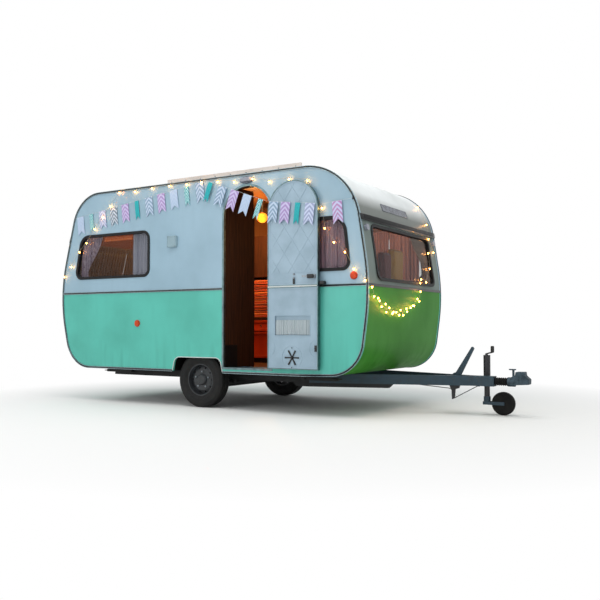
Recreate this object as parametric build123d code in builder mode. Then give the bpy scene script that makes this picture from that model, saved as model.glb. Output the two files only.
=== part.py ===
from build123d import *
from math import atan2, cos, degrees, sin, tan
import os

os.makedirs("parts", exist_ok=True)

# A small two-wheeled touring caravan with a stable door on its right side.
# X runs forward to the coupling, Y to the left and Z up, and the origin is the tow ball's centre.
# Lengths are given from the axle and heights from the ground. All sizes are in millimetres.

# Where it stands
hitch_length = 3150
ball_height = 360

# Body shell
body_width = 1826
wall = 28
floor_thickness = 40
sill_height = 378
belt_height = 1240
shoulder_height = 1902
roof_height = 2402
front_belt = 2021
front_top = 1835
front_low = 1913
front_ramp = 1280
rear_belt = -2104
rear_top = -1798
rear_low = -1905
rear_ramp = -1500
belt_kink = 25
nose_lift = 18
front_ramp_radius = 800
front_belt_radius = 2000
rear_belt_radius = 1600
front_roof_radius = 614
rear_roof_radius = 430
front_sill_radius = 350
rear_sill_radius = 380

# Mouldings
rail_width = 18
rail_proud = 6
rail_lip = 5
insert_proud = 3
belt_band = 24
belt_proud = 6
visor_band = 56
visor_proud = 18

# Windows
seal_width = 30
seal_lap = 14
seal_proud = 8
glass = 4
end_window_width = 1450
end_window_rise = 42
end_window_drop = 70
end_window_corner = 85
side_window_drop = 16
rear_window_rise = 160
front_window_rise = 135
rear_window_back = -1852
rear_window_lean = 100
rear_window_fore = -671
front_window_back = 1060
front_window_fore = 1826
front_window_lean = 58

# Door
door_middle = 640
door_opening = 600
door_low = 425
door_headroom = 117
frame_thickness = 9
frame_flange = 12
frame_proud = 4
tread_depth = 60
door_gap = 6
door_split_gap = 6
leaf_thickness = 36
leaf_proud = 6
edging_width = 10
edging_lip = 3
hinge_offset = 14
hinge_side_gap = 4
knuckle_radius = 6
pin_radius = 3
knuckle_length = 40
knuckle_gap = 1
strap_thickness = 4
strap_length = 34
hinge_inset = 120

# Moulded liner of the door
emboss = 2
emboss_line = 5
liner_margin = 26
diamond_width = 180
diamond_height = 257
quilt_rise = 125
pocket_width = 397
pocket_height = 188
pocket_drop = 284
pocket_depth = 14
pocket_rim = 8
vent_radius = 115
vent_rise = 128
slot_reach = 76
slot_width = 13
knob_radius = 15
scallop_radius = 90
scallop_rise = 219
slot_depth = 6
vent_knob = 8

# Fittings of the door
handle_rise = 90
lock_inset = 23
lock_width = 95
lock_height = 40
lock_depth = 14
lever_reach = 163
lever_stand = 4
lever_thickness = 8
bolt_offset = 12
bolt_width = 20
bolt_length = 65
latch_width = 26
latch_height = 60
latch_thickness = 5
latch_knob = 14
catch_gap = 12
catch_length = 45
catch_height = 27
catch_reach = 47

# Lamps and the inlet cover
utility_x = -337
utility_rise = 528
utility_size = 124
utility_corner = 14
utility_depth = 32
rear_marker = (-849, 887)
front_marker_x = 1856
front_marker_rise = 86
marker_radius = 38
marker_base = 8
porch_lamp_drop = 62
porch_lamp_length = 137
porch_lamp_width = 44
porch_lamp_depth = 36
corner_lamp_y = 831
corner_lamp_drop = 55
corner_lamp_radius = 30
rear_lamp_height = 760
rear_lamp_y = 740
rear_lamp_width = 110
rear_lamp_length = 200
rear_lamp_corner = 20
rear_lamp_depth = 40

# Roof board
board_front = 1242
board_rear = -476
board_y = 850
board_height = 60
board_thickness = 18
board_foot = 30

# Hatch
hatch_x = -150
hatch_opening = 380
hatch_frame_width = 30
hatch_frame_height = 25
hatch_lid_height = 22
hatch_overhang = 12
hatch_corner = 50
barrel_radius = 7
barrel_length = 60

# Running gear
wheel_radius = 290
tyre_width = 155
tread_width = 118
tread_groove = 7
rim_radius = 168
wheel_inset = 45
stub_radius = 20
running_fit = 0.05
arch_height = 528
arch_top_half = 300
arch_low_half = 360
arch_corner = 60
wheel_box_half = 333
wheel_box_top = 660
wheel_box_depth = 235
panel = 12
axle_tube_x = 150
axle_tube_radius = 38
arm_width = 28
arm_boss = 14
drum_depth = 62
drum_radius = 110
disc_out = 30
hub_cap_radius = 58
cooling_hole = 11
cooling_holes = 10

# Chassis
rail_depth = 95
rail_flange = 40
rail_web = 5
rail_y = 540
chassis_rear = -1560
cross_member_width = 40
cross_member_depth = 60
cross_members = (-1500, -700, 1050)
housing_inset = 12
drawbar_start = 1150
drawbar_end = 2890
apex_length = 200
apex_half = 48
doubler_end = 1950
doubler_depth = 38

# Coupling and overrun
bellows_step = 18
bellows_steps = 7
bellows_radius = 40
bellows_waist = 32
ball_radius = 25
socket_clearance = 0.4
head_half = 40
head_skirt = 60
collar_length = 66
collar_radius = 44

# Brake
plate_rear = 2400
plate_front = 2600
plate_rise = 20
plate_thickness = 40
lever_width = 28
rod_radius = 4
rod_end = 10
eye_half = 7
sector_radius = 60
relay_foot = 139
lever_rise = 285

# Jockey wheel
jockey_x = 2777
jockey_y = 112
jockey_tube_radius = 33
jockey_leg_radius = 27
jockey_wheel_radius = 112
jockey_wheel_width = 54
jockey_trail = 160
jockey_tube_top = 565
jockey_tube_low = 290
jockey_leg_low = 175
jockey_leg_top = 500
swivel_radius = 10
jockey_axle_radius = 8
cheek = 6

# Corner steadies
steady_x = 1180
steady_rear_x = -1150
steady_y = 680
steady_drop = 40
steady_length = 370
steady_width = 40
steady_depth = 30
steady_pin = 6
foot_half = 35

# Cabin
clear = 0.3
board = 16
wardrobe_rear = -330
wardrobe_front = 325
wardrobe_side = -330
wardrobe_headroom = 252
kitchen_rear = -600
kitchen_front = 860
kitchen_side = 400
kitchen_top = 960
locker_rise = 220
locker_lift = 68
locker_side = 545
blanket_rear = -560
blanket_front = 40
blanket_inset = 40
bench_front = 1240
bench_rear = -1280
bench_top = 800
bench_depth = 600
seat_thickness = 110
seat_overhang = 60
seat_inset = 15
back_cushion = 100
back_cushion_x = 1750
back_cushion_left = 290
back_cushion_seam = -20
back_cushion_right = -260
left_cushion_rise = 432
right_cushion_rise = 380
cushion_round = 60
curtain = 20
curtain_hem = 50
curtain_inset = 60
curtain_wide = 370
curtain_middling = 320
curtain_slim = 180
end_curtain_edge = 800
end_curtain_wide = 500
cabin_lamp_x = -70
cabin_lamp_y = 400
cabin_lamp_drop = 232
cabin_lamp_radius = 65

side_y = body_width / 2
inner_y = side_y - wall
door_spring = roof_height - door_headroom - door_opening / 2
floor_top = sill_height + floor_thickness
frame_low = sill_height - rail_depth
far = 4000


def fore(distance):
    """X of a place that lies the given distance ahead of the axle."""
    return distance - hitch_length


def up(height):
    """Z of a place at the given height above the ground."""
    return height - ball_height


def rounded(corners):
    """A flat outline from corners that each have a length, a height and a radius."""
    with BuildSketch(mode=Mode.PRIVATE) as shape:
        with BuildLine():
            Polyline(*[(fore(x), up(z)) for x, z, radius in corners], close=True)
        make_face()
        for x, z, radius in corners:
            fillet(shape.vertices().sort_by_distance((fore(x), up(z)))[0], radius)
    return shape.sketch


def profile(corners):
    """A flat outline with sharp corners, each a length and a height."""
    with BuildSketch(mode=Mode.PRIVATE) as shape:
        with BuildLine():
            Polyline(*[(fore(x), up(z)) for x, z in corners], close=True)
        make_face()
    return shape.sketch


def grown(shape, amount):
    """The same outline moved outwards all round, or inwards if the amount is negative."""
    return offset(shape, amount=amount, mode=Mode.PRIVATE)


def between(x_low, x_high, z_low, z_high, mode=Mode.INTERSECT):
    """Keeps, or with another mode adds or cuts, the part of a side-on sketch inside this box."""
    with Locations((fore((x_low + x_high) / 2), up((z_low + z_high) / 2))):
        Rectangle(x_high - x_low, z_high - z_low, mode=mode)


def block(x_low, x_high, y_low, y_high, z_low, z_high, mode=Mode.ADD):
    """A box between two lengths, two widths and two heights."""
    with Locations((fore((x_low + x_high) / 2), (y_low + y_high) / 2, up((z_low + z_high) / 2))):
        Box(x_high - x_low, abs(y_high - y_low), z_high - z_low, mode=mode)


def post(x, y, z_low, z_high, radius, mode=Mode.ADD):
    """An upright round bar or bore."""
    with Locations((fore(x), y, up((z_low + z_high) / 2))):
        Cylinder(radius, z_high - z_low, mode=mode)


def crosswise(x, y, height, length, radius, mode=Mode.ADD):
    """A round bar or bore that lies across the caravan."""
    with Locations(Location((fore(x), y, up(height)), (90, 0, 0))):
        Cylinder(radius, length, mode=mode)


def rod(start, end, radius=rod_radius):
    """A round rod between two places, each a length and a height, on the middle line."""
    run = Vector(end[0] - start[0], 0, end[1] - start[1])
    start_plane = Plane(origin=(fore(start[0]), 0, up(start[1])), z_dir=run)
    with BuildSketch(start_plane, mode=Mode.PRIVATE) as end_face:
        Circle(radius)
    extrude(end_face.sketch, amount=run.length)


def keep(piece, name):
    """Names a finished piece and writes it."""
    piece.part.label = name
    export_step(piece.part, "parts/" + name + ".step")


# The body's side outline, with soft corners at the belt and large ones at the roof.
body_outline = rounded(
    (
        (front_ramp, sill_height, front_ramp_radius),
        (front_low, sill_height + nose_lift, front_sill_radius),
        (front_belt, belt_height - belt_kink, front_belt_radius),
        (front_top, roof_height, front_roof_radius),
        (rear_top, roof_height, rear_roof_radius),
        (rear_belt, belt_height - belt_kink, rear_belt_radius),
        (rear_low, sill_height, rear_sill_radius),
    )
)
inner_outline = grown(body_outline, -wall)

# Window outlines, to the outside of the rubber.
side_window_high = shoulder_height + side_window_drop
rear_side_window = rounded(
    (
        (rear_window_back, belt_height + rear_window_rise, 90),
        (rear_window_fore, belt_height + rear_window_rise, 90),
        (rear_window_fore, side_window_high, 100),
        (rear_window_back + rear_window_lean, side_window_high, 150),
    )
)
front_side_window = rounded(
    (
        (front_window_back, belt_height + front_window_rise, 80),
        (front_window_fore, belt_height + front_window_rise, 80),
        (front_window_fore - front_window_lean, side_window_high - 21, 170),
        (front_window_back, side_window_high - 21, 90),
    )
)
end_window_low = belt_height + end_window_rise
end_window_high = shoulder_height - end_window_drop
with BuildSketch() as end_window:
    RectangleRounded(end_window_width, end_window_high - end_window_low, end_window_corner)

front_lean = atan2(front_belt - front_top, roof_height - belt_height + belt_kink)
rear_lean = atan2(rear_top - rear_belt, roof_height - belt_height + belt_kink)
window_height = (end_window_low + end_window_high) / 2
rise = window_height - belt_height + belt_kink
front_window_plane = Plane(
    origin=(fore(front_belt - rise * tan(front_lean)), 0, up(window_height)),
    x_dir=(0, 1, 0),
    z_dir=(cos(front_lean), 0, sin(front_lean)),
)
rear_window_plane = Plane(
    origin=(fore(rear_belt + rise * tan(rear_lean)), 0, up(window_height)),
    x_dir=(0, -1, 0),
    z_dir=(-cos(rear_lean), 0, sin(rear_lean)),
)
right_plane = Plane.XZ.offset(side_y)
left_plane = Plane.XZ.offset(-side_y)
# Each window has its plane on the wall's outer face, its outline, and which way is out.
windows = (
    (right_plane, rear_side_window, 1),
    (right_plane, front_side_window, 1),
    (left_plane, rear_side_window, -1),
    (left_plane, front_side_window, -1),
    (front_window_plane, end_window.sketch, 1),
    (rear_window_plane, end_window.sketch, 1),
)


def doorway(margin, low=door_low):
    """The arched doorway, wider all round by a margin, down to the given height."""
    half = door_opening / 2 + margin
    with BuildSketch(mode=Mode.PRIVATE) as shape:
        with Locations((fore(door_middle), up(door_spring))):
            Circle(half)
        between(door_middle - half, door_middle + half, low, door_spring, Mode.ADD)
    return shape.sketch


# Side walls, each an upper and a lower panel that meet at the belt.
arch_skirt = 100
for side, plane, out in (("right", right_plane, 1), ("left", left_plane, -1)):
    with BuildPart() as side_upper:
        with BuildSketch(plane):
            add(body_outline)
            between(-far, far, belt_height, far)
            for shape in (rear_side_window, front_side_window):
                add(grown(shape, -seal_lap), mode=Mode.SUBTRACT)
            if side == "right":
                add(doorway(0), mode=Mode.SUBTRACT)
        extrude(amount=-out * wall)
    keep(side_upper, "side_" + side + "_upper")

    wheel_arch = rounded(
        (
            (-arch_low_half, sill_height - arch_skirt, 1),
            (arch_low_half, sill_height - arch_skirt, 1),
            (arch_top_half, arch_height, arch_corner),
            (-arch_top_half, arch_height, arch_corner),
        )
    )
    with BuildPart() as side_lower:
        with BuildSketch(plane):
            add(body_outline)
            between(-far, far, 0, belt_height)
            add(wheel_arch, mode=Mode.SUBTRACT)
            if side == "right":
                add(doorway(0), mode=Mode.SUBTRACT)
        extrude(amount=-out * wall)
    keep(side_lower, "side_" + side + "_lower")

# Front, roof and rear, cut from one band that runs round between the side walls.
bands = (
    ("front_lower", front_ramp, far, 0, belt_height),
    ("front_upper", 0, far, belt_height, shoulder_height),
    ("roof", -far, far, shoulder_height, far),
    ("rear_upper", -far, 0, belt_height, shoulder_height),
    ("rear_lower", -far, rear_ramp, 0, belt_height),
)
hatch_half = hatch_opening / 2
for name, x_low, x_high, z_low, z_high in bands:
    with BuildPart() as band:
        with BuildSketch(Plane.XZ.offset(inner_y)):
            add(body_outline)
            add(inner_outline, mode=Mode.SUBTRACT)
            between(x_low, x_high, z_low, z_high)
        extrude(amount=-2 * inner_y)
        if name in ("front_upper", "rear_upper"):
            place = front_window_plane if name == "front_upper" else rear_window_plane
            with BuildSketch(place):
                add(grown(end_window.sketch, -seal_lap))
            extrude(amount=3 * wall, both=True, mode=Mode.SUBTRACT)
        if name == "roof":
            block(
                hatch_x - hatch_half,
                hatch_x + hatch_half,
                -hatch_half,
                hatch_half,
                roof_height - 2 * wall,
                roof_height + wall,
                Mode.SUBTRACT,
            )
    keep(band, name)

# Floor, with a box over each wheel that opens downwards and to the side.
with BuildPart() as floor:
    block(rear_ramp, front_ramp, -inner_y, inner_y, sill_height, floor_top)
    for side in (-1, 1):
        edge = side * (inner_y - wheel_box_depth)
        inside = edge + side * panel
        low, high = sorted((edge, side * inner_y))
        block(-wheel_box_half, wheel_box_half, low, high, sill_height, wheel_box_top)
        low, high = sorted((inside, side * inner_y))
        half = wheel_box_half - panel
        block(-half, half, low, high, sill_height, wheel_box_top - panel, Mode.SUBTRACT)
keep(floor, "floor")

# Windows: a rubber seal that laps the wall outside and lines the opening, and a pane in it.
with BuildPart() as window_seals:
    for plane, shape, out in windows:
        with BuildSketch(plane):
            add(shape)
            add(grown(shape, -seal_width), mode=Mode.SUBTRACT)
        extrude(amount=out * seal_proud)
        with BuildSketch(plane):
            add(grown(shape, -seal_lap))
            add(grown(shape, -seal_width), mode=Mode.SUBTRACT)
        extrude(amount=-out * wall)
keep(window_seals, "window_seals")

with BuildPart() as window_panes:
    for plane, shape, out in windows:
        with BuildSketch(plane.offset(-out * wall / 2)):
            add(grown(shape, -seal_width))
        extrude(amount=glass / 2, both=True)
keep(window_panes, "window_panes")

# Body trim, joined at its corners: a rail round each side that caps the joint with the band,
# a flat belt moulding broken by the doorway, and a shoulder strip over each end window.
# Rail and belt each have two lips with a filler strip between them.
belt_low = belt_height - belt_band / 2
belt_high = belt_height + belt_band / 2
door_half = door_opening / 2 + frame_flange
with BuildPart() as body_trim:
    for plane, out in ((right_plane, 1), (left_plane, -1)):
        for outside, inside, proud in (
            (rail_proud, -rail_width, insert_proud),
            (rail_proud, rail_proud - rail_lip, rail_proud),
            (rail_lip - rail_width, -rail_width, rail_proud),
        ):
            with BuildSketch(plane):
                add(grown(body_outline, outside))
                add(grown(body_outline, inside), mode=Mode.SUBTRACT)
            extrude(amount=out * proud)
        for z_low, z_high, proud in (
            (belt_low, belt_high, insert_proud),
            (belt_low, belt_low + rail_lip, belt_proud),
            (belt_high - rail_lip, belt_high, belt_proud),
        ):
            with BuildSketch(plane):
                add(grown(body_outline, -rail_width))
                between(-far, far, z_low, z_high)
                if out == 1:
                    between(door_middle - door_half, door_middle + door_half, z_low, z_high, Mode.SUBTRACT)
            extrude(amount=out * proud)
    with BuildSketch(Plane.XZ.offset(side_y)):
        add(grown(body_outline, belt_proud))
        add(body_outline, mode=Mode.SUBTRACT)
        between(-far, far, belt_low, belt_high)
    extrude(amount=-body_width)
    with BuildSketch(Plane.XZ.offset(side_y)):
        add(grown(body_outline, visor_proud))
        add(body_outline, mode=Mode.SUBTRACT)
        between(-far, far, shoulder_height - visor_band, shoulder_height)
    extrude(amount=-body_width)
keep(body_trim, "body_trim")

# Door frame: a lining in the doorway with a flange on the wall's outside and a tread inside.
with BuildPart() as door_frame:
    with BuildSketch(right_plane):
        add(doorway(0))
        add(doorway(-frame_thickness, door_low + frame_thickness), mode=Mode.SUBTRACT)
    extrude(amount=-wall)
    with BuildSketch(right_plane):
        add(doorway(frame_flange, door_low - frame_flange))
        add(doorway(-frame_thickness, door_low + frame_thickness), mode=Mode.SUBTRACT)
    extrude(amount=frame_proud)
    half = door_opening / 2 - frame_thickness
    block(
        door_middle - half,
        door_middle + half,
        -inner_y,
        -inner_y + tread_depth,
        floor_top,
        door_low + frame_thickness,
    )
keep(door_frame, "door_frame")

# Stable door. It stands open, turned half a turn about its hinge line to lie along the wall.
leaf_half = door_opening / 2 - frame_thickness - door_gap
hinge_x = door_middle + leaf_half + hinge_side_gap
hinge_y = -(side_y + hinge_offset)
open_middle = 2 * hinge_x - door_middle
open_outside = -(2 * (side_y + hinge_offset) - (side_y + leaf_proud))
open_inside = open_outside - leaf_thickness
leaf_low = door_low + frame_thickness + door_gap
hinge_edge = open_middle - leaf_half
free_edge = open_middle + leaf_half
outside_plane = Plane.XZ.offset(-open_outside)
inside_plane = Plane.XZ.offset(-open_inside)

# Hinges: on each leaf two knuckles, each between two on the frame, all bored for the pin.
hinge_heights = {
    "door_lower": (leaf_low + hinge_inset, belt_height - hinge_inset),
    "door_upper": (belt_height + hinge_inset, door_spring - hinge_inset),
}


def knuckle(middle):
    """A knuckle on the hinge line."""
    post(hinge_x, hinge_y, middle - knuckle_length / 2, middle + knuckle_length / 2, knuckle_radius)


with BuildPart() as door_hinges:
    for heights in hinge_heights.values():
        for height in heights:
            for shift in (-1, 1):
                middle = height + shift * (knuckle_length + knuckle_gap)
                knuckle(middle)
                block(
                    hinge_x,
                    hinge_x + strap_length,
                    hinge_y + knuckle_radius - strap_thickness,
                    -side_y - frame_proud,
                    middle - knuckle_length / 2,
                    middle + knuckle_length / 2,
                )
            post(hinge_x, hinge_y, height - 1.5 * knuckle_length, height + 1.5 * knuckle_length, pin_radius)
    # The catch on the wall that holds the open door.
    catch_x = free_edge + catch_gap
    catch_low = belt_high + knuckle_gap
    catch_high = catch_low + catch_height
    block(catch_x, catch_x + catch_length, -side_y - catch_reach, -side_y, catch_low, catch_high)
keep(door_hinges, "door_hinges")


def leaf_shape(low, high, margin=0):
    """The part of the arched door between two heights, smaller all round by a margin."""
    half = leaf_half - margin
    with BuildSketch(mode=Mode.PRIVATE) as shape:
        with Locations((fore(open_middle), up(door_spring))):
            Circle(half)
        between(open_middle - half, open_middle + half, leaf_low, door_spring, Mode.ADD)
        between(-far, far, low + margin, high - margin)
    return shape.sketch


def engrave(shape, depth=emboss):
    """Presses an outline into the liner of the leaf being made."""
    with BuildSketch(inside_plane, mode=Mode.PRIVATE) as lines:
        add(shape)
    extrude(lines.sketch, amount=-depth, mode=Mode.SUBTRACT)


def line_round(shape):
    """The narrow band just inside an outline."""
    return shape - grown(shape, -emboss_line)


vent_height = door_low + vent_rise
scallop_height = door_low + scallop_rise
pocket_height_middle = belt_height - pocket_drop - pocket_height / 2
quilt_low = belt_height + quilt_rise
quilt_middle = (quilt_low + door_spring + leaf_half) / 2
quilt_slant = degrees(atan2(diamond_height, diamond_width))


def quilting(field):
    """Crossed lines that leave diamonds inside the given outline."""
    with BuildSketch(mode=Mode.PRIVATE) as lines:
        for slant in (-quilt_slant, quilt_slant):
            for step in range(-4, 4):
                place = (fore(open_middle + (step + 0.5) * diamond_width), up(quilt_middle))
                with Locations(Location(place, slant)):
                    Rectangle(5 * diamond_height, emboss_line)
        add(field, mode=Mode.INTERSECT)
    return lines.sketch


def scallops(field):
    """Half rings at both edges of the lower leaf, inside the given outline."""
    with BuildSketch(mode=Mode.PRIVATE) as rings:
        for edge in (hinge_edge, free_edge):
            with Locations((fore(edge), up(scallop_height))):
                Circle(scallop_radius)
                Circle(scallop_radius - emboss_line, mode=Mode.SUBTRACT)
        add(field, mode=Mode.INTERSECT)
    return rings.sketch


def vent_ring(field):
    """A ring round the ventilator, inside the given outline."""
    with BuildSketch(mode=Mode.PRIVATE) as ring:
        with Locations((fore(open_middle), up(vent_height))):
            Circle(vent_radius)
            Circle(vent_radius - emboss_line, mode=Mode.SUBTRACT)
        add(field, mode=Mode.INTERSECT)
    return ring.sketch


def vent_slots(clearance):
    """Six slots that meet at the ventilator's knob, narrower by a clearance all round."""
    with BuildSketch(mode=Mode.PRIVATE) as star:
        with Locations((fore(open_middle), up(vent_height))):
            Circle(knob_radius - clearance)
            with PolarLocations(slot_reach / 2, 6):
                Rectangle(slot_reach - 2 * clearance, slot_width - 2 * clearance)
    return star.sketch


def pocket(rim):
    """The outline of the door pocket with a rim of the given width."""
    with BuildSketch(mode=Mode.PRIVATE) as shape:
        with Locations((fore(open_middle), up(pocket_height_middle))):
            RectangleRounded(pocket_width + 2 * rim, pocket_height + 2 * rim, pocket_rim + rim)
    return shape.sketch


leaves = (
    ("door_upper", belt_height + door_split_gap / 2, far),
    ("door_lower", leaf_low, belt_height - door_split_gap / 2),
)
for name, low, high in leaves:
    with BuildPart() as leaf:
        with BuildSketch(outside_plane):
            add(leaf_shape(low, high, edging_width))
        extrude(amount=leaf_thickness)
        liner = leaf_shape(low, high, liner_margin)
        engrave(line_round(liner))
        if name == "door_upper":
            quilt = leaf_shape(quilt_low - liner_margin, far, liner_margin)
            engrave(line_round(quilt))
            engrave(quilting(quilt))
        else:
            engrave(scallops(liner))
            engrave(vent_ring(liner))
            engrave(vent_slots(0), slot_depth)
            with BuildSketch(inside_plane):
                add(pocket(pocket_rim))
            extrude(amount=emboss)
            with BuildSketch(inside_plane.offset(emboss)):
                add(pocket(0))
            extrude(amount=-emboss - pocket_depth, mode=Mode.SUBTRACT)
        for height in hinge_heights[name]:
            knuckle(height)
            block(
                hinge_x,
                hinge_x + strap_length,
                open_outside,
                hinge_y,
                height - knuckle_length / 2,
                height + knuckle_length / 2,
            )
        post(hinge_x, hinge_y, 0, far, pin_radius + running_fit, Mode.SUBTRACT)
    keep(leaf, name)

    # A channel round the leaf's edge, a little proud of the liner.
    with BuildPart() as edging:
        with BuildSketch(outside_plane):
            add(leaf_shape(low, high))
            add(leaf_shape(low, high, edging_width), mode=Mode.SUBTRACT)
        extrude(amount=leaf_thickness + edging_lip)
    keep(edging, name + "_edging")

# Lock case and lever on the upper leaf, with a small bolt and a stud beside them.
handle_height = belt_height + handle_rise
lock_x = free_edge - lock_inset - lock_width / 2
lever_face = open_inside - lock_depth - lever_stand
with BuildPart() as door_handle:
    with BuildSketch(inside_plane):
        with Locations((fore(lock_x), up(handle_height))):
            RectangleRounded(lock_width, lock_height, lock_height / 4)
    extrude(amount=lock_depth)
    fillet(door_handle.faces().sort_by(Axis.Y)[0].edges(), lock_depth / 4)
    block(
        free_edge - lever_reach,
        lock_x + lever_thickness,
        lever_face - lever_thickness,
        lever_face,
        handle_height - lever_thickness,
        handle_height + lever_thickness,
    )
    spindle_y = (open_inside + lever_face) / 2
    crosswise(lock_x, spindle_y, handle_height, open_inside - lever_face, lever_thickness)
    bolt_low = belt_height + bolt_width
    block(
        open_middle + bolt_offset,
        open_middle + bolt_offset + bolt_width,
        open_inside - bolt_width / 2,
        open_inside,
        bolt_low,
        bolt_low + bolt_length,
    )
    crosswise(
        open_middle + bolt_offset + bolt_width / 2,
        open_inside - bolt_width / 4,
        bolt_low + bolt_length + 1.5 * bolt_width,
        bolt_width / 2,
        bolt_width / 2,
    )
keep(door_handle, "door_handle")

# Latch of the lower leaf, in the scallop at its free edge.
with BuildPart() as door_latch:
    latch_x = free_edge - edging_width - latch_width / 2
    latch_face = open_inside - latch_thickness
    block(
        latch_x - latch_width / 2,
        latch_x + latch_width / 2,
        latch_face,
        open_inside,
        scallop_height - latch_height / 2,
        scallop_height + latch_height / 2,
    )
    crosswise(latch_x, latch_face - latch_knob / 2, scallop_height, latch_knob, latch_knob / 2)
keep(door_latch, "door_latch")

# Door ventilator: a star behind the six slots, with a knob to turn it by.
with BuildPart() as door_vent:
    with BuildSketch(inside_plane.offset(-slot_depth)):
        add(vent_slots(clear))
    extrude(amount=slot_depth / 2)
    crosswise(
        open_middle,
        open_inside + (slot_depth / 2 - vent_knob) / 2,
        vent_height,
        slot_depth / 2 + vent_knob,
        knob_radius * 0.8,
    )
keep(door_vent, "door_vent")

# Mains inlet cover on the right wall, a flap in a frame.
utility_place = (fore(utility_x), up(belt_height + utility_rise))
flap_size = utility_size - 2 * utility_corner
flap_inner = flap_size - emboss_line
with BuildPart() as utility_box:
    with BuildSketch(right_plane):
        with Locations(utility_place):
            RectangleRounded(utility_size, utility_size, utility_corner)
    extrude(amount=utility_depth)
    fillet(utility_box.faces().sort_by(Axis.Y)[0].edges(), utility_corner / 2)
    with BuildSketch(right_plane.offset(utility_depth)):
        with Locations(utility_place):
            RectangleRounded(flap_size, flap_size, utility_corner)
            RectangleRounded(flap_inner, flap_inner, utility_corner, mode=Mode.SUBTRACT)
    extrude(amount=-emboss, mode=Mode.SUBTRACT)
keep(utility_box, "utility_box")

# Lamps: amber markers on both sides, a porch lamp and one at each upper corner of the front.
marker_places = (
    (fore(rear_marker[0]), up(rear_marker[1])),
    (fore(front_marker_x), up(belt_height + front_marker_rise)),
)
with BuildPart() as side_markers:
    for side in (-1, 1):
        for x, z in marker_places:
            for y, radius in ((side_y + marker_base / 2, 1), (side_y + 1.5 * marker_base, 0.8)):
                with Locations(Location((x, side * y, z), (90, 0, 0))):
                    Cylinder(marker_radius * radius, marker_base)
keep(side_markers, "side_markers")

corner_lamp_rise = (end_window_high - end_window_low) / 2 - corner_lamp_drop
with BuildPart() as white_lamps:
    with BuildSketch(right_plane):
        with Locations((fore(door_middle), up(roof_height - porch_lamp_drop))):
            SlotOverall(porch_lamp_length, porch_lamp_width)
    extrude(amount=porch_lamp_depth)
    fillet(white_lamps.faces().sort_by(Axis.Y)[0].edges(), porch_lamp_width / 4)
    with BuildSketch(front_window_plane):
        with Locations((-corner_lamp_y, corner_lamp_rise), (corner_lamp_y, corner_lamp_rise)):
            Circle(corner_lamp_radius)
    extrude(amount=corner_lamp_radius)
keep(white_lamps, "white_lamps")

# Rear lamps: at each lower corner a base with two round lenses, one above the other.
rear_low_lean = atan2(rear_low - rear_belt, belt_height - belt_kink - sill_height)
rear_lamp_x = rear_belt + (belt_height - belt_kink - rear_lamp_height) * tan(rear_low_lean)
rear_lamp_plane = Plane(
    origin=(fore(rear_lamp_x), 0, up(rear_lamp_height)),
    x_dir=(0, -1, 0),
    z_dir=(-cos(rear_low_lean), 0, -sin(rear_low_lean)),
)
lens_shift = rear_lamp_length / 4
with BuildPart() as rear_lamps:
    with BuildSketch(rear_lamp_plane):
        with Locations((-rear_lamp_y, 0), (rear_lamp_y, 0)):
            RectangleRounded(rear_lamp_width, rear_lamp_length, rear_lamp_corner)
    extrude(amount=rear_lamp_depth / 2)
    with BuildSketch(rear_lamp_plane.offset(rear_lamp_depth / 2)):
        for y in (-rear_lamp_y, rear_lamp_y):
            with Locations((y, -lens_shift), (y, lens_shift)):
                Circle(rear_lamp_width * 0.4)
    extrude(amount=rear_lamp_depth / 2)
keep(rear_lamps, "rear_lamps")

# Roof board along the right edge of the roof, on four feet.
with BuildPart() as roof_board:
    board_high = roof_height + board_height
    block(board_rear, board_front, -board_y, board_thickness - board_y, roof_height, board_high)
    for share in (0.05, 0.35, 0.65, 0.95):
        x = board_rear + share * (board_front - board_rear)
        block(
            x - board_foot / 2,
            x + board_foot / 2,
            board_thickness - board_y,
            board_thickness - board_y + 2 * board_foot,
            roof_height,
            roof_height + board_height / 3,
        )
keep(roof_board, "roof_board")

# Roof hatch: a frame on the roof, and a lid on two hinges along its front edge.
hatch_outer = hatch_half + hatch_frame_width
lid_half = hatch_outer + hatch_overhang
lid_low = roof_height + hatch_frame_height + clear
barrel_x = hatch_x + lid_half + barrel_radius + 2
barrel_height = lid_low + barrel_radius
with BuildPart() as hatch_frame:
    block(
        hatch_x - hatch_outer,
        hatch_x + hatch_outer,
        -hatch_outer,
        hatch_outer,
        roof_height,
        roof_height + hatch_frame_height,
    )
    block(
        hatch_x - hatch_half,
        hatch_x + hatch_half,
        -hatch_half,
        hatch_half,
        roof_height - wall,
        lid_low,
        Mode.SUBTRACT,
    )
    for y in (-hatch_half / 2, hatch_half / 2):
        low = y - barrel_length / 2
        high = y + barrel_length / 2
        block(hatch_x + hatch_outer, barrel_x, low, high, roof_height, roof_height + barrel_radius)
        block(barrel_x - barrel_radius, barrel_x + barrel_radius, low, high, roof_height, barrel_height)
        crosswise(barrel_x, y, barrel_height, barrel_length, barrel_radius)
        crosswise(barrel_x, y, barrel_height, 2 * barrel_length, pin_radius)
keep(hatch_frame, "hatch_frame")

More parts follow.
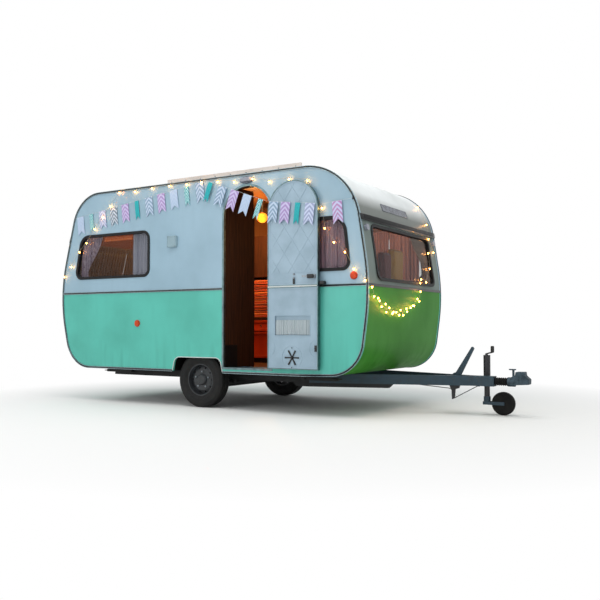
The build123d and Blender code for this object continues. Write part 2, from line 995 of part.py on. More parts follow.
with BuildPart() as hatch_lid:
    block(hatch_x - lid_half, hatch_x + lid_half, -lid_half, lid_half, lid_low, lid_low + hatch_lid_height)
    fillet(hatch_lid.edges().filter_by(Axis.Z), hatch_corner)
    chamfer(hatch_lid.faces().sort_by(Axis.Z)[-1].edges(), hatch_lid_height / 3)
    for side in (-1, 1):
        for way in (-1, 1):
            y = side * hatch_half / 2 + way * (barrel_length * 0.75 + knuckle_gap)
            crosswise(barrel_x, y, barrel_height, barrel_length / 2, barrel_radius)
            block(
                barrel_x - 2 * barrel_radius,
                barrel_x,
                y - barrel_length / 4,
                y + barrel_length / 4,
                barrel_height - barrel_radius / 2,
                barrel_height + barrel_radius / 2,
            )
    for y in (-hatch_half / 2, hatch_half / 2):
        crosswise(barrel_x, y, barrel_height, 3 * barrel_length, pin_radius + running_fit, Mode.SUBTRACT)
keep(hatch_lid, "hatch_lid")

# Drawbar arms run together towards the coupling.
apex_start = drawbar_end - apex_length


def arm_half(x):
    """Half the width over the two arms at a length ahead of the axle."""
    share = (apex_start - x) / (apex_start - drawbar_start)
    return apex_half + share * (rail_y - apex_half)


# Chassis: two channels and three cross members under the floor,
# and under each channel a doubler that runs on below the drawbar's arm.
doubler_low = frame_low - doubler_depth
doubler_start = drawbar_start - 2 * rail_depth
with BuildPart() as chassis_frame:
    with BuildSketch(Plane.XY.offset(up(doubler_low))):
        for side in (-1, 1):
            with BuildLine():
                Polyline(
                    (fore(doubler_start), side * rail_y),
                    (fore(drawbar_start), side * rail_y),
                    (fore(doubler_end), side * arm_half(doubler_end)),
                    (fore(doubler_end), side * (arm_half(doubler_end) - rail_flange)),
                    (fore(drawbar_start), side * (rail_y - rail_flange)),
                    (fore(doubler_start), side * (rail_y - rail_flange)),
                    close=True,
                )
            make_face()
    extrude(amount=doubler_depth)
    doubler_side = profile(
        (
            (doubler_start, frame_low),
            (doubler_end, frame_low),
            (doubler_end - doubler_depth, doubler_low),
            (doubler_start + doubler_depth, doubler_low),
        )
    )
    with BuildSketch(Plane.XZ):
        add(doubler_side)
    extrude(amount=side_y, both=True, mode=Mode.INTERSECT)
    for side in (-1, 1):
        for z_low, z_high, depth in (
            (frame_low, frame_low + rail_web, rail_flange),
            (sill_height - rail_web, sill_height, rail_flange),
            (frame_low, sill_height, rail_web),
        ):
            low, high = sorted((side * rail_y, side * (rail_y - depth)))
            block(chassis_rear, drawbar_start, low, high, z_low, z_high)
    for x in cross_members:
        block(
            x - cross_member_width / 2,
            x + cross_member_width / 2,
            rail_web - rail_y,
            rail_y - rail_web,
            sill_height - cross_member_depth,
            sill_height,
        )
keep(chassis_frame, "chassis_frame")

# Drawbar: two channels closed by a housing at the front, with a plate between them
# that carries the hand brake and its ratchet sector.
plate_low = frame_low + plate_rise
plate_high = plate_low + plate_thickness
housing_low = frame_low + housing_inset
lever_pivot = (plate_rear + plate_front) / 2
with BuildPart() as drawbar:
    for side in (-1, 1):
        for z_low, height, depth in (
            (frame_low, rail_web, rail_flange),
            (sill_height - rail_web, rail_web, rail_flange),
            (frame_low, rail_depth, rail_web),
        ):
            with BuildSketch(Plane.XY.offset(up(z_low))):
                with BuildLine():
                    Polyline(
                        (fore(drawbar_start), side * rail_y),
                        (fore(apex_start), side * apex_half),
                        (fore(drawbar_end), side * apex_half),
                        (fore(drawbar_end), side * (apex_half - depth)),
                        (fore(apex_start), side * (apex_half - depth)),
                        (fore(drawbar_start), side * (rail_y - depth)),
                        close=True,
                    )
                make_face()
            extrude(amount=height)
    block(
        apex_start,
        drawbar_end,
        rail_web - apex_half,
        apex_half - rail_web,
        housing_low,
        sill_height - housing_inset,
    )
    with BuildSketch(Plane.XY.offset(up(plate_low))):
        with BuildLine():
            Polyline(
                (fore(plate_rear), arm_half(plate_rear) - rail_web / 2),
                (fore(plate_front), arm_half(plate_front) - rail_web / 2),
                (fore(plate_front), rail_web / 2 - arm_half(plate_front)),
                (fore(plate_rear), rail_web / 2 - arm_half(plate_rear)),
                close=True,
            )
        make_face()
    extrude(amount=plate_thickness)
    with BuildSketch(Plane.XZ.offset(-lever_width)):
        with Locations((fore(lever_pivot), up(plate_high))):
            Circle(sector_radius)
        between(-far, far, plate_high, far)
    extrude(amount=rail_web)
keep(drawbar, "drawbar")

# Bellows over the overrun shaft, up to the coupling's collar.
shaft_height = (frame_low + sill_height) / 2
head_start = drawbar_end + bellows_step * bellows_steps
folds = [
    (
        fore(drawbar_end + step * bellows_step / 2),
        up(shaft_height) + (bellows_radius if step % 2 else bellows_waist),
    )
    for step in range(2 * bellows_steps + 1)
]
with BuildPart() as bellows:
    with BuildSketch(Plane.XZ):
        with BuildLine():
            Polyline(
                (fore(drawbar_end), up(shaft_height)),
                *folds,
                (fore(head_start), up(shaft_height)),
                close=True,
            )
        make_face()
    revolve(axis=Axis((0, 0, up(shaft_height)), (1, 0, 0)))
keep(bellows, "bellows")

# Coupling head: a collar on the shaft, a humped housing over the ball and a release handle on top.
socket_radius = ball_radius + socket_clearance
head_low = ball_height - head_skirt
head_shape = rounded(
    (
        (hitch_length - 110, head_low, 8),
        (hitch_length - 110, ball_height + 12, 10),
        (hitch_length - 60, ball_height + 35, 6),
        (hitch_length - 55, ball_height + 67, 8),
        (hitch_length + 29, ball_height + 69, 8),
        (hitch_length + 33, ball_height + 34, 6),
        (hitch_length + 72, ball_height, 10),
        (hitch_length + 70, head_low + 12, 8),
    )
)
with BuildPart() as coupling_head:
    with BuildSketch(Plane.XZ):
        add(head_shape)
    extrude(amount=head_half, both=True)
    post(hitch_length, 0, head_low + 12, ball_height + 30, head_half + 8)
    with Locations(Location((fore(head_start + collar_length / 2), 0, up(shaft_height)), (0, 90, 0))):
        Cylinder(collar_radius, collar_length)
    with Locations((0, 0, 0)):
        Sphere(socket_radius, mode=Mode.SUBTRACT)
    post(hitch_length, 0, head_low - head_skirt, ball_height, socket_radius, Mode.SUBTRACT)
    block(hitch_length - 94, hitch_length - 76, -8, 8, ball_height + 15, ball_height + 84)
    block(hitch_length - 123, hitch_length - 63, -15, 15, ball_height + 82, ball_height + 93)
keep(coupling_head, "coupling_head")

# Hand brake: a lever that leans forward from the plate and narrows to its grip.
lever_top = sill_height + lever_rise
lever_shape = profile(
    (
        (lever_pivot - 34, plate_high),
        (lever_pivot + 36, plate_high),
        (lever_pivot + 188, lever_top - 24),
        (lever_pivot + 171, lever_top),
    )
)
with BuildPart() as brake_lever:
    with BuildSketch(Plane.XZ):
        add(lever_shape)
    extrude(amount=lever_width / 2, both=True)
    fillet(brake_lever.edges().filter_by(Axis.Y).sort_by(Axis.Z)[-2:], 8)
keep(brake_lever, "brake_lever")

# Brake relay: a bracket with an arm that hangs under the plate, a rod back to the chassis
# and a rod forward to the housing, each with an eye at its end.
relay_x = lever_pivot - 22
relay_bracket = profile(
    (
        (relay_x - 50, plate_low),
        (relay_x + 74, plate_low),
        (relay_x + 54, plate_low - 55),
        (relay_x - 21, plate_low - 71),
    )
)
relay_arm = profile(
    (
        (relay_x - 22, plate_low - 40),
        (relay_x + 22, plate_low - 40),
        (relay_x + 12, relay_foot + 11),
        (relay_x - 16, relay_foot),
    )
)
rear_eye = cross_members[-1] + cross_member_width / 2
rear_eye_height = sill_height - cross_member_depth / 2
front_eye = apex_start + 4 * rod_end
with BuildPart() as brake_relay:
    with BuildSketch(Plane.XZ):
        add(relay_bracket)
    extrude(amount=lever_width / 2, both=True)
    with BuildSketch(Plane.XZ):
        add(relay_arm)
    extrude(amount=lever_width / 4, both=True)
    rod((relay_x, plate_low - 60), (rear_eye + rod_end, rear_eye_height))
    rod((relay_x, relay_foot + rod_end), (front_eye, housing_low - rod_end))
    block(
        rear_eye,
        rear_eye + 2 * rod_end,
        -eye_half,
        eye_half,
        rear_eye_height - rod_end,
        rear_eye_height + rod_end,
    )
    block(
        front_eye - rod_end,
        front_eye + rod_end,
        -eye_half,
        eye_half,
        housing_low - 2 * rod_end,
        housing_low,
    )
keep(brake_relay, "brake_relay")

# Axle: a cross tube under the rails, with a trailing arm and a stub at each end.
axle_height = wheel_radius
axle_tube_height = frame_low - axle_tube_radius
tyre_y = side_y - wheel_inset - tyre_width / 2
stub_end = tyre_y + drum_depth / 3
arm_y = tyre_y - drum_depth * 4 / 3 - arm_width / 2
with BuildPart() as axle:
    crosswise(axle_tube_x, 0, axle_tube_height, 2 * arm_y, axle_tube_radius)
    for side in (-1, 1):
        with BuildSketch(Plane.XZ.offset(-side * arm_y)):
            with Locations((fore(axle_tube_x), up(axle_tube_height))):
                Circle(axle_tube_radius + arm_boss / 2)
            with Locations((fore(0), up(axle_height))):
                Circle(stub_radius + arm_boss)
            make_hull()
        extrude(amount=arm_width / 2, both=True)
        low, high = sorted((side * rail_y, side * (rail_y - rail_flange)))
        block(
            axle_tube_x - 1.5 * axle_tube_radius,
            axle_tube_x + 1.5 * axle_tube_radius,
            low,
            high,
            axle_tube_height,
            frame_low,
        )
        crosswise(0, side * (arm_y + stub_end) / 2, axle_height, stub_end - arm_y, stub_radius)
keep(axle, "axle")

# Wheels: a tyre with two grooves round its tread, and a rim with its drum, bored for the stub.
bead = tyre_width * 0.4
groove_low = tread_width / 6
groove_high = groove_low + tread_groove
groove_floor = wheel_radius - tread_groove
shoulder_radius = wheel_radius * 0.88
flank_radius = rim_radius * 1.2
bore = stub_radius + running_fit
rim_lip = rim_radius * 0.94
rim_well = rim_radius * 0.89
hole_circle = (drum_radius + rim_well) / 2
cap_depth = hub_cap_radius * 0.4
for side_name, side in (("right", -1), ("left", 1)):
    middle = (fore(0), side * tyre_y, up(axle_height))
    spin = Axis(middle, (0, 1, 0))
    section = Plane(middle, x_dir=(1, 0, 0), z_dir=(0, 0, 1))
    with BuildPart() as tyre:
        with BuildSketch(section) as tyre_section:
            with BuildLine():
                Polyline(
                    (rim_radius, -bead),
                    (rim_radius, bead),
                    (flank_radius, tyre_width / 2),
                    (shoulder_radius, tyre_width / 2),
                    (wheel_radius, tread_width / 2),
                    (wheel_radius, groove_high),
                    (groove_floor, groove_high),
                    (groove_floor, groove_low),
                    (wheel_radius, groove_low),
                    (wheel_radius, -groove_low),
                    (groove_floor, -groove_low),
                    (groove_floor, -groove_high),
                    (wheel_radius, -groove_high),
                    (wheel_radius, -tread_width / 2),
                    (shoulder_radius, -tyre_width / 2),
                    (flank_radius, -tyre_width / 2),
                    close=True,
                )
            make_face()
            for way in (-1, 1):
                for corner, radius in (
                    ((flank_radius, way * tyre_width / 2), 30),
                    ((shoulder_radius, way * tyre_width / 2), 20),
                    ((wheel_radius, way * tread_width / 2), 12),
                ):
                    fillet(tyre_section.vertices().sort_by_distance(corner)[0], radius)
        revolve(axis=spin)
    keep(tyre, "tyre_" + side_name)

    with BuildPart() as rim:
        with BuildSketch(section):
            with BuildLine():
                Polyline(
                    (bore, -side * drum_depth),
                    (drum_radius, -side * drum_depth),
                    (drum_radius, -side * panel / 2),
                    (rim_well, -side * panel / 2),
                    (rim_well, -side * bead),
                    (rim_radius, -side * bead),
                    (rim_radius, side * bead),
                    (rim_lip, side * bead),
                    (rim_well, side * disc_out / 2),
                    (drum_radius, side * (disc_out + panel / 3)),
                    (hub_cap_radius, side * disc_out),
                    (hub_cap_radius, side * (disc_out + cap_depth * 0.4)),
                    (hub_cap_radius * 0.8, side * (disc_out + cap_depth)),
                    (0, side * (disc_out + cap_depth)),
                    (0, side * disc_out),
                    (bore, side * disc_out),
                    close=True,
                )
            make_face()
        revolve(axis=spin)
        with Locations(Location(middle, (90, 0, 0))):
            with PolarLocations(hole_circle, cooling_holes):
                Cylinder(cooling_hole, 3 * disc_out, mode=Mode.SUBTRACT)
    keep(rim, "rim_" + side_name)

# Jockey wheel: a tube in a clamp on the drawbar, and a leg, a fork and a wheel below.
crank_y = jockey_y + lever_thickness
crank_shape = profile(
    (
        (jockey_x - 16, jockey_tube_top + 12),
        (jockey_x - 12, jockey_tube_top + 26),
        (jockey_x + 62, jockey_tube_top + 48),
        (jockey_x + 66, jockey_tube_top + 34),
    )
)
with BuildPart() as jockey_tube:
    post(jockey_x, jockey_y, jockey_tube_low, jockey_tube_top, jockey_tube_radius)
    post(jockey_x, jockey_y, jockey_tube_low, jockey_tube_top, jockey_leg_radius + running_fit, Mode.SUBTRACT)
    post(jockey_x, jockey_y, jockey_tube_top, jockey_tube_top + 10, jockey_tube_radius)
    post(jockey_x, jockey_y, jockey_tube_top, jockey_tube_top + 24, swivel_radius)
    with BuildSketch(Plane.XZ.offset(-crank_y)):
        add(crank_shape)
    extrude(amount=2 * lever_thickness)
    post(jockey_x + 55, jockey_y, jockey_tube_top + 36, jockey_tube_top + 97, 13)
keep(jockey_tube, "jockey_tube")

with BuildPart() as jockey_clamp:
    block(
        jockey_x - jockey_tube_radius - housing_inset,
        jockey_x + jockey_tube_radius + housing_inset,
        apex_half,
        jockey_y,
        housing_low,
        sill_height - housing_inset,
    )
    post(jockey_x, jockey_y, housing_low, sill_height - housing_inset, jockey_tube_radius + housing_inset)
    post(jockey_x, jockey_y, frame_low, sill_height, jockey_tube_radius, Mode.SUBTRACT)
keep(jockey_clamp, "jockey_clamp")

sleeve_low = jockey_leg_low - 56
with BuildPart() as jockey_leg:
    post(jockey_x, jockey_y, jockey_leg_low, jockey_leg_top, jockey_leg_radius)
    post(jockey_x, jockey_y, sleeve_low + knuckle_gap, jockey_leg_low, swivel_radius)
keep(jockey_leg, "jockey_leg")

fork_half = jockey_wheel_width / 2 + 3 + cheek
wheel_x = jockey_x + jockey_trail
with BuildPart() as jockey_fork:
    post(jockey_x, jockey_y, sleeve_low, jockey_leg_low - knuckle_gap, jockey_tube_radius)
    post(jockey_x, jockey_y, sleeve_low, jockey_leg_low, swivel_radius + running_fit, Mode.SUBTRACT)
    block(
        jockey_x - jockey_tube_radius,
        jockey_x + jockey_tube_radius,
        jockey_y - fork_half,
        jockey_y + fork_half,
        sleeve_low - 2 * cheek,
        sleeve_low,
    )
    for y in (jockey_y - fork_half + cheek / 2, jockey_y + fork_half - cheek / 2):
        block(
            jockey_x - jockey_tube_radius,
            wheel_x + 2 * jockey_axle_radius,
            y - cheek / 2,
            y + cheek / 2,
            jockey_wheel_radius - 2 * jockey_axle_radius,
            jockey_wheel_radius + 2 * jockey_axle_radius,
        )
    crosswise(wheel_x, jockey_y, jockey_wheel_radius, 2 * fork_half, jockey_axle_radius)
keep(jockey_fork, "jockey_fork")

with BuildPart() as jockey_wheel:
    crosswise(wheel_x, jockey_y, jockey_wheel_radius, jockey_wheel_width, jockey_wheel_radius)
    crosswise(
        wheel_x,
        jockey_y,
        jockey_wheel_radius,
        jockey_wheel_width,
        jockey_axle_radius + running_fit,
        Mode.SUBTRACT,
    )
    fillet(jockey_wheel.edges().filter_by(GeomType.CIRCLE).group_by(SortBy.RADIUS)[-1], 14)
keep(jockey_wheel, "jockey_wheel")

# Corner steadies, folded up under the floor, each on a pin in its bracket.
steady_hinge_height = sill_height - steady_drop
lug_y = steady_width / 2 + 9
steady_corners = (
    ("front_right", steady_x, -1, 1),
    ("front_left", steady_x, 1, 1),
    ("rear_right", steady_rear_x, -1, -1),
    ("rear_left", steady_rear_x, 1, -1),
)
with BuildPart() as steady_brackets:
    for name, x, side, way in steady_corners:
        for lug in (-lug_y, lug_y):
            y = side * steady_y + lug
            block(x - 22, x + 22, y - 3, y + 3, steady_hinge_height - 18, sill_height)
        crosswise(x, side * steady_y, steady_hinge_height, 2 * lug_y + 6, steady_pin)
keep(steady_brackets, "steady_brackets")

for name, x, side, way in steady_corners:
    foot_x = x + way * steady_length
    with BuildPart() as steady:
        with BuildSketch(Plane.XZ.offset(-side * steady_y)):
            with Locations((fore((x + foot_x) / 2), up(steady_hinge_height))):
                SlotOverall(steady_length + steady_depth, steady_depth)
        extrude(amount=steady_width / 2, both=True)
        block(
            foot_x - foot_half,
            foot_x + foot_half,
            side * steady_y - foot_half,
            side * steady_y + foot_half,
            steady_hinge_height - 4,
            steady_hinge_height + 4,
        )
        crosswise(
            x,
            side * steady_y,
            steady_hinge_height,
            2 * steady_width,
            steady_pin + running_fit,
            Mode.SUBTRACT,
        )
    keep(steady, "steady_" + name)


def cupboard(x_low, x_high, y_low, y_high, z_low, z_high):
    """A closed box of boards."""
    block(x_low, x_high, y_low, y_high, z_low, z_high)
    block(
        x_low + board,
        x_high - board,
        y_low + board,
        y_high - board,
        z_low + board,
        z_high - board,
        Mode.SUBTRACT,
    )


# Inside: a wardrobe, a kitchen with a locker above it, a lamp, benches and cushions.
wall_side = inner_y - clear
wheel_box_side = inner_y - wheel_box_depth
wardrobe_top = roof_height - wardrobe_headroom
locker_low = belt_height + locker_rise
locker_high = shoulder_height + locker_lift
with BuildPart() as cabinets:
    cupboard(wardrobe_rear, wardrobe_front, -wall_side, wardrobe_side, floor_top, wardrobe_top)
    cupboard(kitchen_rear, kitchen_front, kitchen_side, wall_side, floor_top, kitchen_top)
    cupboard(kitchen_rear, kitchen_front, locker_side, wall_side, locker_low, locker_high)
    for low, high in ((-inner_y, -wheel_box_side), (wheel_box_side, inner_y)):
        block(-wheel_box_half, wheel_box_half, low, high, floor_top, wheel_box_top, Mode.SUBTRACT)
keep(cabinets, "cabinets")

with BuildPart() as blankets:
    block(
        blanket_rear,
        blanket_front,
        kitchen_side + blanket_inset,
        wall_side - blanket_inset,
        kitchen_top + clear,
        locker_low - blanket_inset,
    )
    fillet(blankets.edges(), 30)
keep(blankets, "blankets")

with BuildPart() as benches:
    for x, back in ((bench_front, bench_front + bench_depth), (bench_rear, bench_rear - bench_depth)):
        low, high = sorted((x, back))
        block(low, high, -wall_side, wall_side, bench_top - board, bench_top)
        edge = x if back > x else x - board
        block(edge, edge + board, -wall_side, wall_side, floor_top, bench_top - board)
keep(benches, "benches")

seat_side = wall_side - seat_inset
seat_high = bench_top + seat_thickness
with BuildPart() as cushions_front:
    block(
        bench_front + 5,
        bench_front + bench_depth + seat_overhang,
        -seat_side,
        seat_side,
        bench_top + clear,
        seat_high,
    )
    for y_low, y_high, rise in (
        (back_cushion_seam, back_cushion_left, left_cushion_rise),
        (back_cushion_right, back_cushion_seam - knuckle_gap, right_cushion_rise),
    ):
        block(
            back_cushion_x,
            back_cushion_x + back_cushion,
            y_low,
            y_high,
            seat_high,
            belt_height + rise,
        )
    for tops in cushions_front.edges().filter_by(Axis.X).group_by(Axis.Z)[-2:]:
        fillet(tops, cushion_round)
keep(cushions_front, "cushions_front")

with BuildPart() as cushions_rear:
    block(
        bench_rear - bench_depth - seat_overhang,
        bench_rear - 5,
        -seat_side,
        seat_side,
        bench_top + clear,
        seat_high,
    )
    fillet(cushions_rear.edges(), 20)
keep(cushions_rear, "cushions_rear")

cabin_lamp_height = roof_height - cabin_lamp_drop
with BuildPart() as cabin_lamp:
    with Locations((fore(cabin_lamp_x), cabin_lamp_y, up(cabin_lamp_height))):
        Sphere(cabin_lamp_radius)
    post(cabin_lamp_x, cabin_lamp_y, cabin_lamp_height, roof_height - wall, 12)
keep(cabin_lamp, "cabin_lamp")

# Curtains, each a flat panel close to the wall.
curtain_low = belt_height + front_window_rise - curtain_hem
curtain_high = side_window_high + curtain_hem
curtain_spans = (
    (rear_window_back + curtain_inset, rear_window_back + curtain_inset + curtain_wide),
    (rear_window_fore + seal_width - curtain_middling, rear_window_fore + seal_width),
    (front_window_back - seal_width, front_window_back - seal_width + curtain_slim),
    (front_window_fore - curtain_inset - curtain_slim, front_window_fore - curtain_inset),
)
for side_name, side in (("right", -1), ("left", 1)):
    near, away = sorted((side * (inner_y - clear), side * (inner_y - clear - curtain)))
    with BuildPart() as curtains:
        for x_low, x_high in curtain_spans:
            block(x_low, x_high, near, away, curtain_low, curtain_high)
    keep(curtains, "curtains_" + side_name)

with BuildPart() as curtains_ends:
    for x_low, x_high, y_low, y_high in (
        (0, far, end_curtain_edge - end_curtain_wide, end_curtain_edge),
        (0, far, -end_curtain_edge, curtain_slim - end_curtain_edge),
        (-far, 0, end_curtain_edge - curtain_slim, end_curtain_edge),
        (-far, 0, -end_curtain_edge, curtain_slim - end_curtain_edge),
    ):
        with BuildSketch(Plane.XZ.offset(-y_high)):
            add(grown(inner_outline, -clear))
            add(grown(inner_outline, -clear - curtain), mode=Mode.SUBTRACT)
            between(x_low, x_high, end_window_low - curtain_hem / 2, end_window_high + curtain_hem / 2)
        extrude(amount=y_high - y_low)
keep(curtains_ends, "curtains_ends")
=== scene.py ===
# A small touring caravan, dressed for its render.
# Lengths are in metres. X runs forward to the coupling, Y to the left and Z up; the tow ball is the origin.
from math import asin, atan2, cos, pi, radians, sin, sqrt

import bmesh
import bpy
from mathutils import Matrix, Vector


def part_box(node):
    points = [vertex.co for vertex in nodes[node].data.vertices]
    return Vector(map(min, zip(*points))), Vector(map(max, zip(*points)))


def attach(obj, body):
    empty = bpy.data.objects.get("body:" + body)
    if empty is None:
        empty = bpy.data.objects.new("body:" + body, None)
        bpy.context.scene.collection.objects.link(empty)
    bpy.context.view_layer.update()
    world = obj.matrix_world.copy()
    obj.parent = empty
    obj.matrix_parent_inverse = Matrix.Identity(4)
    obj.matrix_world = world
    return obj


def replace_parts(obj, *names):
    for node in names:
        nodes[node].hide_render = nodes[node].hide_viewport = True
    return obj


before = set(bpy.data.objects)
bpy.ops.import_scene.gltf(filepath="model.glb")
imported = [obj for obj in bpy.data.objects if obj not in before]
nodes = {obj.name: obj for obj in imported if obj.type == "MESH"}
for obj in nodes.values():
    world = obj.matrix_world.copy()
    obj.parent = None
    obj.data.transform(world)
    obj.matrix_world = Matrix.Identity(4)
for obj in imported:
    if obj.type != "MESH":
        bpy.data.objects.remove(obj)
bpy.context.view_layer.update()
scene = bpy.context.scene
print("frame loaded:", len(nodes), "nodes")


def lowOf(name):
    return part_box(name)[0]


def highOf(name):
    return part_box(name)[1]


def middleOf(name):
    return (lowOf(name) + highOf(name)) / 2


axleX = middleOf("rim_right").x
axleZ = middleOf("rim_right").z
groundZ = lowOf("tyre_right").z
sideY = -lowOf("side_right_upper").y          # outer face of the side walls
innerY = -highOf("side_right_upper").y        # their inner face
beltZ = lowOf("side_right_upper").z
cabinMiddle = (axleX, 0, beltZ)


def toLinear(code):
    levels = [int(code[i:i + 2], 16) / 255 for i in (1, 3, 5)]
    return [c / 12.92 if c < 0.04045 else ((c + 0.055) / 1.055) ** 2.4 for c in levels] + [1.0]


def plain(value):
    return toLinear(value) if isinstance(value, str) else value


def addNode(tree, kind, out=None, inputs=None, **settings):
    # one node with its settings: sockets are linked, hex colours become linear, the rest are plain values
    node = tree.nodes.new("ShaderNode" + kind)
    for name, value in settings.items():
        setattr(node, name, value)
    for name, value in (inputs or {}).items():
        if isinstance(value, bpy.types.NodeSocket):
            tree.links.new(value, node.inputs[name])
        else:
            node.inputs[name].default_value = plain(value)
    return node if out is None else node.outputs[out]


def ramp(tree, value, low=0.0, high=1.0, toLow=0.0, toHigh=1.0):
    # spreads one range of values over another
    return addNode(tree, "MapRange", "Result", {"Value": value, "From Min": low, "From Max": high,
                                                "To Min": toLow, "To Max": toHigh})


def calc(tree, kind, *values):
    return addNode(tree, "Math", 0, dict(enumerate(values)), operation=kind)


def blend(tree, share, first, second):
    return addNode(tree, "Mix", 2, {0: share, 6: first, 7: second}, data_type="RGBA")


def noise(tree, place, scale, detail, distortion=0.0):
    return addNode(tree, "TexNoise", "Fac",
                   {"Vector": place, "Scale": scale, "Detail": detail, "Distortion": distortion})


def partOf(tree, vector, letter):
    return addNode(tree, "SeparateXYZ", letter, {"Vector": vector})


def stretch(tree, place, scale):
    return addNode(tree, "Mapping", "Vector", {"Vector": place, "Scale": scale})


def startMaterial(name, **sockets):
    # a fresh Principled material; what is the same all over goes straight on the shader's sockets
    material = bpy.data.materials.new(name)
    material.use_nodes = True
    tree = material.node_tree
    shader = tree.nodes["Principled BSDF"]
    for key, value in sockets.items():
        shader.inputs[key.replace("_", " ")].default_value = plain(value)
    place = addNode(tree, "TexCoord", "Object")
    return material, tree, shader, place


def wire(tree, shader, colour=None, roughness=None, height=None, depth=0.001, strength=0.6):
    # joins a finish's colour, gloss and relief to its shader; depth is how far the relief rises
    if colour is not None:
        tree.links.new(colour, shader.inputs["Base Color"])
    if roughness is not None:
        tree.links.new(roughness, shader.inputs["Roughness"])
    if height is not None:
        bump = addNode(tree, "Bump", "Normal", {"Height": height, "Distance": depth, "Strength": strength})
        tree.links.new(bump, shader.inputs["Normal"])


# Coach enamel over aluminium sheet, brushed and flatted: an even gloss that wanders a little over the
# panel's dents, faint rain bars, road dirt low down. The cabin's side is varnished ply lining.
coachPaint = {
    "iceBlueGloss": ("#9CBACB", "#86A3B2", 0.35, 0.3),
    "mintGloss": ("#5BC1B1", "#49A393", 0.35, 0.3),
    "leafGreenGloss": ("#388720", "#2B6819", 0.14, 0.42),
    "greyGreenGloss": ("#76847F", "#5F665E", 0.2, 0.4),
    # the roof's last colour is a grey painted shade where it turns down over the front window
    "roofWhiteGloss": ("#D8DCDC", "#B5BAB8", 0.3, 0.35, "#6C726D"),
}
paintDents = 0.42        # how far apart the panel's dents are
paintDentDepth = 0.006
paintGrain = 0.004       # brush marks are finer than this and are drawn this coarse so that they show
# where the roof's painted shade over the front window lies
visorShadeEdge = {"from": 1.70, "to": 1.84, "top": 2.13, "low": 1.98}   # along from the axle, above the ground
rubberSkin = 0.0025
lensRib = 0.007
tyreLook = {"sipes": 84, "skew": 55.0, "tread": 0.272, "ring": 0.012, "flankFrom": 0.235, "flankTo": 0.225}
# inside the first of these the rail is drawn dark: the filler in its groove, and at the front and rear ends
# the whole rail, as painted shade
fillerAndShadeEdge = (0.0042, 0.0046)      # how far out the rail's filler ends and its lips begin
liningColours = ("#7A5230", "#5A3A20")


def makePaint(name, clean, dull, level, shine, visorShade=None):
    material, tree, shader, place = startMaterial(name, Specular_IOR_Level=level)
    height = partOf(tree, place, "Z")
    bars = stretch(tree, place, (1, 1, 0.1))
    streaks = ramp(tree, noise(tree, bars, 11, 4.0), 0.38, 0.78)
    low = ramp(tree, height, groundZ + 0.95, groundZ + 0.4, toHigh=0.9)
    grime = calc(tree, "MULTIPLY", low, streaks)
    bloom = ramp(tree, noise(tree, place, 2.0, 6.0), 0.42, 0.95)
    faint = calc(tree, "MULTIPLY", streaks, 0.22)
    age = calc(tree, "MAXIMUM", calc(tree, "MAXIMUM", grime, bloom), faint)
    colour = blend(tree, age, clean, dull)
    if visorShade:
        # where the roof sheet turns down over the front window it is painted grey: painted shade and a
        # painted dark reflection, as the curve turns away from the sky
        forward = partOf(tree, place, "X")
        front = ramp(tree, forward, axleX + visorShadeEdge["from"], axleX + visorShadeEdge["to"])
        fall = ramp(tree, height, groundZ + visorShadeEdge["top"], groundZ + visorShadeEdge["low"])
        greyPart = calc(tree, "MULTIPLY", front, fall)
        colour = blend(tree, greyPart, colour, visorShade)
    # faces that look back at the cabin's middle are the lining
    outwards = addNode(tree, "VectorMath", 0, {0: place, 1: cabinMiddle}, operation="SUBTRACT")
    normal = addNode(tree, "TexCoord", "Normal")
    facing = addNode(tree, "VectorMath", "Value", {0: outwards, 1: normal}, operation="DOT_PRODUCT")
    inside = calc(tree, "LESS_THAN", facing, 0.0)
    across = calc(tree, "ABSOLUTE", partOf(tree, place, "Y"))
    within = calc(tree, "LESS_THAN", across, innerY + 0.002)
    inside = calc(tree, "MULTIPLY", inside, within)
    figure = noise(tree, stretch(tree, place, (14, 14, 1.2)), 1.5, 5.0, 0.6)
    lining = blend(tree, figure, liningColours[0], liningColours[1])
    colour = blend(tree, inside, colour, lining)
    gloss = ramp(tree, age, toLow=shine, toHigh=shine + 0.2)
    dents = noise(tree, place, 1 / paintDents, 1.0)
    grain = noise(tree, place, 1 / paintGrain, 2.0)
    relief = calc(tree, "MULTIPLY_ADD", grain, 0.02, dents)
    wire(tree, shader, colour, gloss, relief, paintDentDepth)
    return material


paints = {name: makePaint(name, *look) for name, look in coachPaint.items()}


def makeMetal(name, colour, dull, roughness, grainSize):
    # metal with a drawn, plated or cast skin: the grain dulls the shine in fine patches
    material, tree, shader, place = startMaterial(name, Metallic=1.0)
    drawn = stretch(tree, place, (0.2, 0.2, 1))
    grain = noise(tree, drawn, 1 / grainSize, 4.0)
    stain = ramp(tree, noise(tree, place, 18, 6.0), 0.4, 0.8)
    tone = blend(tree, stain, colour, dull)
    gloss = ramp(tree, grain, toLow=roughness * 0.75, toHigh=roughness * 1.5)
    wire(tree, shader, tone, gloss, grain, 0.0004)
    return material


def makeEnamel(name, colour, faded, chipped, roughness=0.42):
    # brushed chassis enamel: blotched and dusty, chipped to primer or rust in spots
    material, tree, shader, place = startMaterial(name)
    blotch = noise(tree, place, 16, 7.0)
    fade = ramp(tree, blotch, 0.35, 0.8)
    coat = blend(tree, fade, colour, faded)
    spots = ramp(tree, noise(tree, place, 75, 6.0), 0.64, 0.7, toHigh=0.7)
    coat = blend(tree, spots, coat, chipped)
    gloss = ramp(tree, blotch, toLow=roughness - 0.12, toHigh=roughness + 0.3)
    wire(tree, shader, coat, gloss, blotch, 0.0014)
    return material


